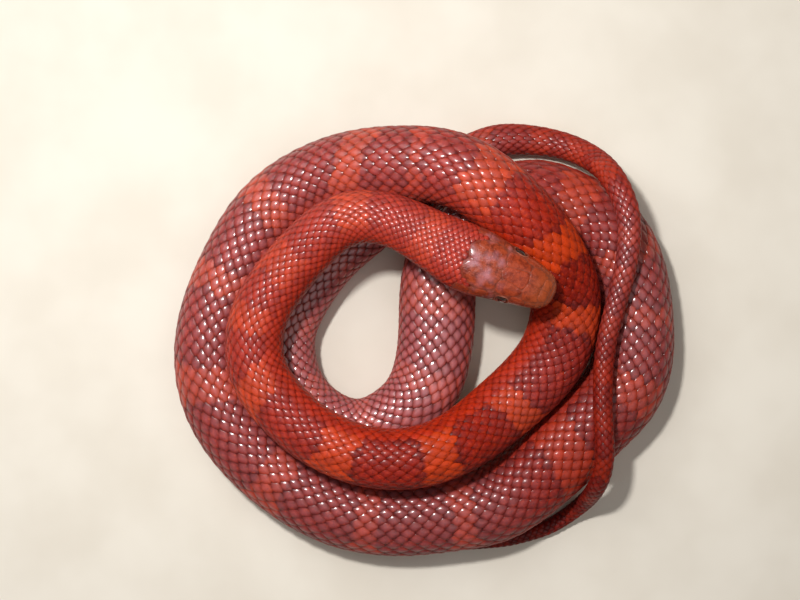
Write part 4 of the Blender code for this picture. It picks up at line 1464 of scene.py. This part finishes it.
def new_group(name: str, inputs: tuple[str, ...], outputs: dict[str, str]) -> tuple[
        bpy.types.NodeTree, Graph, bpy.types.Node, bpy.types.Node]:
    """Starts a node group whose inputs are numbers.

    Args:
        name: the group's name.
        inputs: names of its number inputs.
        outputs: names and socket kinds of its outputs.

    Returns:
        The group, a graph on it, and its input and output nodes.
    """
    tree = bpy.data.node_groups.new(name, "ShaderNodeTree")
    for one in inputs:
        tree.interface.new_socket(one, in_out="INPUT", socket_type="NodeSocketFloat")
    for one, kind in outputs.items():
        tree.interface.new_socket(one, in_out="OUTPUT", socket_type=kind)
    graph = Graph(tree)
    return tree, graph, graph.node("NodeGroupInput"), graph.node("NodeGroupOutput")


@dataclass(frozen=True)
class SnakeColours:
    """The animal's colours.

    Attributes:
        orange: the gaps between the saddles.
        rose: the same gaps where the body is washed with mauve.
        ground: the sides, and the back under the markings.
        rear_ground: the same where the body is washed with mauve.
        red: saddles of the fore body at their deepest.
        mauve: saddles of the rear body at their deepest.
        dark: the edges of the saddles.
        low_flank: the lower sides.
        belly: the belly plates.
        painted_sheen: the painted milky sheen, a painted reflection, over scales that are washed
            with mauve.
        head: the head's shields.
        brown: darker parts of the head.
        painted_reflection: the painted pearly reflection of the light on the crown.
        snout: the warmer snout.
        lip: the paler lips.
        seam: the seams between the head's shields.
        orbit: the pale ring of small shields round an eye.
        mouth: the painted shade in the mouth line, the nostrils and the sockets.
        under: the skin under the scales, laid over their markings.
        shade_and_dark_tail: what the markings are multiplied by where the body is darkest: painted
            shade, and on the tail also its own darker colour.
        mottle: the same in the dark specks of the mottling.
        rim: the same at the rims and the roots of the scales, as painted shade, the rims partly
            the scales' own darker edges.
    """

    orange: Colour = srgb(180, 50, 0)
    rose: Colour = srgb(172, 66, 36)
    ground: Colour = srgb(162, 32, 0)
    rear_ground: Colour = srgb(150, 46, 26)
    red: Colour = srgb(122, 14, 0)
    mauve: Colour = srgb(102, 23, 24)
    dark: Colour = srgb(48, 10, 12)
    low_flank: Colour = srgb(192, 92, 62)
    belly: Colour = srgb(226, 182, 154)
    painted_sheen: Colour = srgb(196, 126, 132)
    head: Colour = srgb(150, 60, 32)
    brown: Colour = srgb(100, 34, 18)
    painted_reflection: Colour = srgb(184, 128, 142)
    snout: Colour = srgb(170, 84, 40)
    lip: Colour = srgb(204, 122, 88)
    seam: Colour = srgb(112, 58, 42)
    orbit: Colour = srgb(186, 134, 110)
    mouth: Colour = srgb(34, 10, 8)
    under: Colour = srgb(54, 14, 14)
    shade_and_dark_tail: Colour = srgb(178, 140, 132)
    mottle: Colour = srgb(150, 104, 104)
    rim: Colour = srgb(116, 68, 80)


@dataclass(frozen=True)
class Markings:
    """The saddles, flanks and belly as a node group over the numbers that each piece keeps.

    Attributes:
        colours: the animal's colours.
        ragged: how far the edges of the markings wander, in millimetres.
        back_edge: share of the half girth at which the saddles end.
        mottled: how strong the fine mottling is.
        uneven: how much lighter and darker single scales are, as a whole range.
    """

    colours: SnakeColours = SnakeColours()
    ragged: float = 1.2
    back_edge: float = 0.305
    mottled: float = 0.55
    uneven: float = 0.36

    def build(self) -> bpy.types.NodeTree:
        """Builds the group.

        Gap is the depth inside an orange gap, Bright that gap's brightness, Around the way round
        from the middle of the back, Mauve the wash, partly painted sheen, Depth that of the
        saddles' colour, Shade_and_dark_tail the darkening by painted shade and by the tail's darker
        colour, and
        Tone the random number of a scale. It gives the colour.

        A saddle is the ground mixed with red or mauve by its depth, a gap the ground mixed with
        orange or rose by its brightness. Both end at the back's edge, where the plain ground takes
        over, then the low flank and the belly. Saddles have a dark outline.

        Returns:
            The node group.
        """
        names = (*MARKS, "Tone")
        tree, g, given, out = new_group("Markings", names, {"Color": "NodeSocketColor"})
        around, mauve, depth, shade_and_dark_tail, tone = (given.outputs[name] for name in names[2:])
        c = self.colours
        wander = g.math("SUBTRACT", g.noise(420.0, 2.0), 0.5)
        gap = g.math("MULTIPLY_ADD", wander, self.ragged, given.outputs["Gap"])
        side = g.math("MULTIPLY_ADD", wander, 0.07, around)
        in_gap = g.ramp(gap, -0.4, 0.4)
        edge = g.math("MULTIPLY", g.ramp(gap, -2.2, -0.8), g.ramp(gap, 0.2, -0.4))
        back = g.ramp(side, self.back_edge + 0.03, self.back_edge - 0.02)
        ground = g.mix(mauve, c.ground, c.rear_ground)
        saddle = g.mix(depth, ground, g.mix(mauve, c.red, c.mauve))
        warm = g.mix(mauve, c.orange, c.rose)
        bright = g.mix(given.outputs["Bright"], ground, warm)
        colour = g.mix(in_gap, saddle, bright)
        low_edge = g.math("MULTIPLY", g.ramp(side, self.back_edge + 0.05, self.back_edge),
                          g.ramp(side, self.back_edge - 0.07, self.back_edge - 0.01))
        low_edge = g.math("MULTIPLY", low_edge, g.ramp(gap, 0.4, -0.6))
        outline = g.math("MAXIMUM", edge, low_edge)
        outline = g.math("MULTIPLY", outline, g.ramp(side, self.back_edge + 0.06, self.back_edge))
        outline = g.math("MULTIPLY", outline, g.math("MULTIPLY", depth, 0.55))
        colour = g.mix(outline, g.mix(back, ground, colour), c.dark)
        specks = g.noise(1100.0, 4.0, 0.7)
        colour = g.mix(g.ramp(specks, 0.50, 0.68, 0.0, self.mottled), colour, warm)
        dark_specks = g.ramp(specks, 0.50, 0.32, 0.0, self.mottled)
        colour = g.mix(dark_specks, colour, c.mottle, "MULTIPLY")
        # Painted shade, and on the tail also its darker colour, multiplied over the markings
        colour = g.mix(shade_and_dark_tail, colour, c.shade_and_dark_tail, "MULTIPLY")
        colour = g.mix(g.ramp(side, 0.60, 0.76), colour, c.low_flank)
        colour = g.mix(g.ramp(around, 0.755, 0.80), colour, c.belly)
        shade = g.math("MULTIPLY_ADD", tone, self.uneven, 1 - self.uneven / 2)
        tint = g.node("ShaderNodeCombineColor")
        for socket in tint.inputs[:3]:
            g.feed(socket, shade)
        g.feed(out.inputs["Color"], g.mix(1.0, colour, tint.outputs[0], "MULTIPLY"))
        return tree


@dataclass(frozen=True)
class FineGrain:
    """Fine pores and scratches of dry skin, as a normal for a material.

    Attributes:
        scale: waves in a metre.
        strength: how strongly it shows.
        depth: how deep it is, in metres.
    """

    scale: float = 2600.0
    strength: float = 0.10
    depth: float = 0.0001

    def build(self) -> bpy.types.NodeTree:
        """Builds the group, which gives a normal.

        Returns:
            The node group.
        """
        tree, g, _, out = new_group("FineGrain", (), {"Normal": "NodeSocketVector"})
        bump = g.node("ShaderNodeBump")
        g.feed(bump.inputs["Strength"], self.strength)
        g.feed(bump.inputs["Distance"], self.depth)
        g.feed(bump.inputs["Height"], g.noise(self.scale, 3.0, 0.6))
        g.feed(out.inputs["Normal"], bump.outputs[0])
        return tree


def marked(g: Graph, markings: bpy.types.NodeTree, tone: object) -> bpy.types.NodeSocket:
    """The colour of the markings, from the numbers that a piece keeps.

    Args:
        g: the material's graph.
        markings: the node group of the markings.
        tone: what decides between a lighter and a darker scale.

    Returns:
        The colour.
    """
    kept = {name: g.attribute(name.lower()) for name in MARKS}
    return g.group(markings, **kept, Tone=tone).outputs["Color"]


@dataclass(frozen=True)
class SkinFinish:
    """The finish of the scales and the belly plates.

    Attributes:
        name: the material's name.
        roughness: how broad its gloss is.
        coat: weight of the clear top layer on the back and on the flanks.
        coat_roughness: how broad the top layer's gloss is.
        specular: how strong the gloss of the scale itself is.
        rim: how dark the painted shade at the rim of a scale is, the rim partly its own darker
            edge.
        painted_sheen: how strong the painted milky sheen on the middle of a scale is.
        colours: the animal's colours.
    """

    name: str
    roughness: float = 0.46
    coat: tuple[float, float] = (0.85, 0.06)
    coat_roughness: float = 0.17
    specular: float = 0.14
    rim: float = 0.6
    painted_sheen: float = 0.34
    colours: SnakeColours = SnakeColours()

    def build(self, markings: bpy.types.NodeTree, grain: bpy.types.NodeTree) -> bpy.types.Material:
        """Builds the material of a scale: its marking, a painted sheen on its middle, and painted
        shade at its rim and root, the rim partly its own darker edge.

        Args:
            markings: the node group of the markings.
            grain: the node group of the fine grain.

        Returns:
            The material.
        """
        material, g, shader = start_material(self.name)
        rim, tip = g.attribute("rim"), g.attribute("tip")
        colour = marked(g, markings, g.attribute("tone"))
        # Painted sheen: a milky pink over the middle of the scales on the back, stronger where
        # washed with mauve
        painted_sheen_share = g.math("MULTIPLY", g.ramp(rim, 0.85, 0.2, 0.25, 1.0), g.attribute("mauve"))
        back = g.ramp(g.attribute("around"), 0.60, 0.25, 0.35, 1.0)
        painted_sheen_share = g.math("MULTIPLY", painted_sheen_share, g.math("MULTIPLY", back, self.painted_sheen))
        colour = g.mix(painted_sheen_share, colour, self.colours.painted_sheen)
        # Painted shade at a scale's rim, partly its own darker edge, and towards its root under the
        # scale ahead
        rim_shade_and_edge = g.math("MULTIPLY_ADD", g.attribute("mauve"), 0.65 * self.rim, 0.4 * self.rim)
        shadow = g.math("MAXIMUM", g.math("MULTIPLY", g.ramp(rim, 0.62, 0.98), rim_shade_and_edge),
                        g.ramp(tip, 0.05, -0.7, 0.0, 0.7))
        colour = g.mix(shadow, colour, self.colours.rim, "MULTIPLY")
        g.feed(shader.inputs["Base Color"], colour)
        rough = g.math("MULTIPLY_ADD", g.attribute("tone"), 0.1, self.roughness - 0.05)
        g.feed(shader.inputs["Roughness"], rough)
        g.feed(shader.inputs["Normal"], g.group(grain).outputs["Normal"])
        top, side = self.coat
        sheen = g.math("MULTIPLY_ADD", g.attribute("mauve"), 0.95, 0.06)
        on_back = g.ramp(g.attribute("around"), 0.16, 0.36, top, side)
        g.feed(shader.inputs["Coat Weight"], g.math("MULTIPLY", on_back, sheen))
        shader.inputs["Coat Roughness"].default_value = self.coat_roughness
        shader.inputs["Specular IOR Level"].default_value = self.specular
        shader.inputs["IOR"].default_value = SKIN_IOR
        return material


def start_material(name: str) -> tuple[bpy.types.Material, Graph, bpy.types.Node]:
    """Starts a material.

    Args:
        name: its name.

    Returns:
        The material, a graph on it and its shader.
    """
    material = bpy.data.materials.new(name)
    material.use_nodes = True
    graph = Graph(material.node_tree)
    return material, graph, material.node_tree.nodes["Principled BSDF"]


@dataclass(frozen=True)
class HeadFinish:
    """The finish of the skin: glossy shields on the head, and the markings behind it.

    Attributes:
        name: the material's name.
        coat: weight of the clear top layer.
        coat_roughness: how broad the top layer's gloss is.
        specular: how strong the gloss of the shields themselves is.
        wrinkle: depth of the fine wrinkles in metres.
        colours: the animal's colours.
    """

    name: str
    coat: float = 0.34
    coat_roughness: float = 0.15
    specular: float = 0.2
    wrinkle: float = 0.0005
    colours: SnakeColours = SnakeColours()

    def build(self, markings: bpy.types.NodeTree, grain: bpy.types.NodeTree) -> bpy.types.Material:
        """Builds the material: shields on the head that give way to dark skin under the scales.

        Args:
            markings: the node group of the markings.
            grain: the node group of the fine grain.

        Returns:
            The material.
        """
        c = self.colours
        material, g, shader = start_material(self.name)
        tone, field_mask, ring = (g.attribute(name) for name in ("tone", "field", "ring"))
        girth, along = g.attribute("girth"), g.attribute("along")
        head = g.mix(g.ramp(g.noise(560.0, 5.0, 0.7), 0.40, 0.66), c.head, c.brown)
        head = g.mix(g.math("MULTIPLY", tone, 0.2), head, c.orange)
        snout = g.math("MULTIPLY", g.ramp(along, 9.0, 3.0), 0.35)
        head = g.mix(snout, head, c.snout)
        # Painted reflection of the light: pale lilac patches over the back of the crown
        crown = g.math("MULTIPLY", g.ramp(along, 12.0, 17.0), g.ramp(girth, 0.52, 0.30))
        painted_reflection = g.math("MULTIPLY", g.ramp(g.noise(260.0, 1.0), 0.42, 0.74), crown)
        head = g.mix(g.math("MULTIPLY", painted_reflection, 0.45), head, c.painted_reflection)
        head = g.mix(g.math("MULTIPLY", g.attribute("lip"), 0.5), head, c.lip)
        head = g.mix(g.ramp(girth, 0.64, 0.76), head, c.belly)
        seams = g.ramp(field_mask, 0.85, 0.1, 0.0, 0.5)
        head = g.mix(seams, head, c.seam)
        orbit = g.ramp(g.math("ABSOLUTE", g.math("SUBTRACT", ring, 1.12)), 0.10, 0.03, 0.0, 0.22)
        head = g.mix(orbit, head, c.orbit)
        # Painted shade in the groove of the mouth, in the nostrils and in the eye sockets
        dark = g.math("MAXIMUM", g.attribute("mouth"), g.attribute("nostril"))
        dark = g.math("MAXIMUM", dark, g.ramp(ring, 1.0, 0.93))
        head = g.mix(g.math("MULTIPLY", dark, 0.85), head, c.mouth)
        under = g.mix(0.6, marked(g, markings, 0.3), c.under)
        colour = g.mix(g.attribute("headness"), under, head)
        g.feed(shader.inputs["Base Color"], colour)
        g.feed(shader.inputs["Roughness"], g.ramp(field_mask, 0.2, 0.9, 0.5, 0.34))
        wrinkles = g.node("ShaderNodeBump")
        g.feed(wrinkles.inputs["Strength"], 0.7)
        g.feed(wrinkles.inputs["Distance"], self.wrinkle)
        g.feed(wrinkles.inputs["Height"], g.noise(700.0, 4.0, 0.6))
        g.feed(wrinkles.inputs["Normal"], g.group(grain).outputs["Normal"])
        g.feed(shader.inputs["Normal"], wrinkles.outputs[0])
        shader.inputs["Coat Weight"].default_value = self.coat
        shader.inputs["Coat Roughness"].default_value = self.coat_roughness
        shader.inputs["Specular IOR Level"].default_value = self.specular
        shader.inputs["IOR"].default_value = SKIN_IOR
        return material


@dataclass(frozen=True)
class EyeFinish:
    """The eye: a round black pupil in a dark red iris, under a clear wet scale.

    Attributes:
        name: the material's name.
        pupil: reach of the pupil, as a share of the eye.
        black: the pupil.
        iris: the darker and the lighter flecks of the iris.
        edge: the dark outer edge of the iris.
        ring: the thin bright ring round the pupil.
    """

    name: str
    pupil: float = 0.76
    black: Colour = srgb(6, 4, 4)
    iris: tuple[Colour, Colour] = (srgb(46, 16, 9), srgb(78, 32, 16))
    edge: Colour = srgb(30, 14, 10)
    ring: Colour = srgb(190, 120, 70)

    def build(self) -> bpy.types.Material:
        """Builds the material.

        Returns:
            The material.
        """
        material, g, shader = start_material(self.name)
        spread = g.attribute("spread")
        fleck = g.noise(2400.0, 3.0, 0.6)
        iris = g.mix(g.ramp(fleck, 0.35, 0.7), *self.iris)
        iris = g.mix(g.ramp(spread, 0.80, 0.93), iris, self.edge)
        colour = g.mix(g.ramp(spread, self.pupil, self.pupil + 0.05), self.black, iris)
        off_ring = g.math("ABSOLUTE", g.math("SUBTRACT", spread, self.pupil + 0.06))
        glint = g.ramp(off_ring, 0.04, 0.01, 0.0, 0.12)
        colour = g.mix(glint, colour, self.ring)
        g.feed(shader.inputs["Base Color"], colour)
        shader.inputs["Roughness"].default_value = 0.12
        shader.inputs["Coat Weight"].default_value = 1.0
        shader.inputs["Coat Roughness"].default_value = 0.03
        return material


@dataclass(frozen=True)
class Lamp:
    """A round soft lamp that faces the animal.

    Attributes:
        name: its name.
        place: its place in metres.
        size: its width in metres.
        watts: its power.
        aim: the point that it faces, in metres.
    """

    name: str
    place: tuple[float, float, float]
    size: float
    watts: float
    aim: tuple[float, float, float] = (0.0, 0.0, 0.015)

    def build(self) -> None:
        """Puts the lamp into the scene."""
        lamp = bpy.data.lights.new(self.name, "AREA")
        lamp.shape = "DISK"
        lamp.size = self.size
        lamp.energy = self.watts
        made = bpy.data.objects.new(self.name, lamp)
        made.location = self.place
        towards = Vector(self.aim) - Vector(self.place)
        made.rotation_euler = towards.to_track_quat("-Z", "Y").to_euler()
        bpy.context.scene.collection.objects.link(made)


@dataclass(frozen=True)
class Stage:
    """The plain floor, the soft light and the camera that looks straight down.

    Attributes:
        eye_point: the camera's place in metres.
        lens: its focal length in millimetres.
        floor_size: half width of the floor in millimetres.
        floor_height: height of the floor in millimetres, a hair below the belly.
        lamps: a small hard key, a soft light beside it and a broad fill.
        sky: colour of the light from all round.
        sky_strength: how strong that is.
        paper: the floor's two shades.
    """

    eye_point: tuple[float, float, float] = (-0.0068, 0.0109, 0.400)
    lens: float = 62.07
    floor_size: float = 1200.0
    floor_height: float = -0.02
    lamps: tuple[Lamp, ...] = (
        Lamp("key", (-0.10, 0.12, 0.40), 0.035, 1.5),
        Lamp("soft_left", (-0.20, 0.22, 0.36), 0.35, 0.8),
        Lamp("fill", (0.20, -0.10, 0.80), 0.9, 1.5),
    )
    sky: Colour = (1.0, 0.98, 0.96, 1.0)
    sky_strength: float = 0.12
    paper: tuple[Colour, Colour] = (srgb(214, 205, 190), srgb(222, 214, 200))

    def build(self) -> None:
        """Builds the floor, the lamps, the light from all round and the camera."""
        self._floor()
        for lamp in self.lamps:
            lamp.build()
        world = bpy.data.worlds.new("studio")
        world.use_nodes = True
        sky = world.node_tree.nodes["Background"]
        sky.inputs["Color"].default_value = self.sky
        sky.inputs["Strength"].default_value = self.sky_strength
        bpy.context.scene.world = world
        bpy.context.scene.view_settings.view_transform = "Standard"
        lens = bpy.data.cameras.new("camera")
        lens.lens = self.lens
        lens.sensor_width = 36.0
        lens.clip_start = 0.01
        camera = bpy.data.objects.new("camera", lens)
        camera.location = self.eye_point
        bpy.context.scene.collection.objects.link(camera)
        bpy.context.scene.camera = camera

    def _floor(self) -> None:
        """Builds a plain pale floor, as one square."""
        r, z = self.floor_size, self.floor_height
        points = np.array([(-r, -r, z), (r, -r, z), (r, r, z), (-r, r, z)], float)
        floor = build_mesh("floor", points, [np.array([[0, 1, 2, 3]])], smooth=False)
        material, g, shader = start_material("pale_floor")
        paper = g.mix(g.ramp(g.noise(30.0, 3.0), 0.3, 0.7), *self.paper)
        g.feed(shader.inputs["Base Color"], paper)
        shader.inputs["Roughness"].default_value = 0.8
        floor.data.materials.append(material)


def dress(piece: bpy.types.Object, material: bpy.types.Material) -> None:
    """Gives a piece its finish, lets it ride with the animal and reports it.

    Args:
        piece: the piece.
        material: its finish.
    """
    piece.data.materials.append(material)
    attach(piece, "root")
    LOG.info("%s: %d faces", piece.name, len(piece.data.polygons))


def flesh_nodes() -> list[str]:
    """The solids that the skin stands for."""
    return sorted(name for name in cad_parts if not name.startswith("eye_"))


def main() -> None:
    """Builds the animal and its stage."""
    logging.basicConfig(level=logging.INFO, format="%(name)s: %(message)s")
    body = BodyMap()
    pattern = Pattern(body)
    shields = HeadShields(body)
    coat = Coat(body, shields, pattern)
    skin = Skin(body, shields, coat, pattern)
    markings, grain = Markings().build(), FineGrain().build()
    scale_finish = SkinFinish("scale_gloss").build(markings, grain)
    satin = SkinFinish("belly_satin", roughness=0.38, coat=(0.3, 0.3), rim=0.25)
    belly_finish = satin.build(markings, grain)
    head_finish = HeadFinish("head_gloss").build(markings, grain)
    eye_finish = EyeFinish("eye_wet").build()
    hide = skin.build()
    dress(hide, head_finish)
    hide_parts(*flesh_nodes())
    pieces = coat.build()
    slots = ("head_skin", "front_skin", "rear_skin", "rear_skin", "tail_skin")
    for piece, slot in zip(pieces["back"], slots):
        dress(piece, scale_finish)
    for piece in pieces["belly"]:
        dress(piece, belly_finish)
    eyes = Eyes(body, skin)
    for name, side in (("left", 1), ("right", -1)):
        eye = eyes.build(f"eye_{name}_wet", side)
        dress(eye, eye_finish)
        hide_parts(f"eye_{name}")
    Stage().build()


if __name__ == "__main__":
    main()
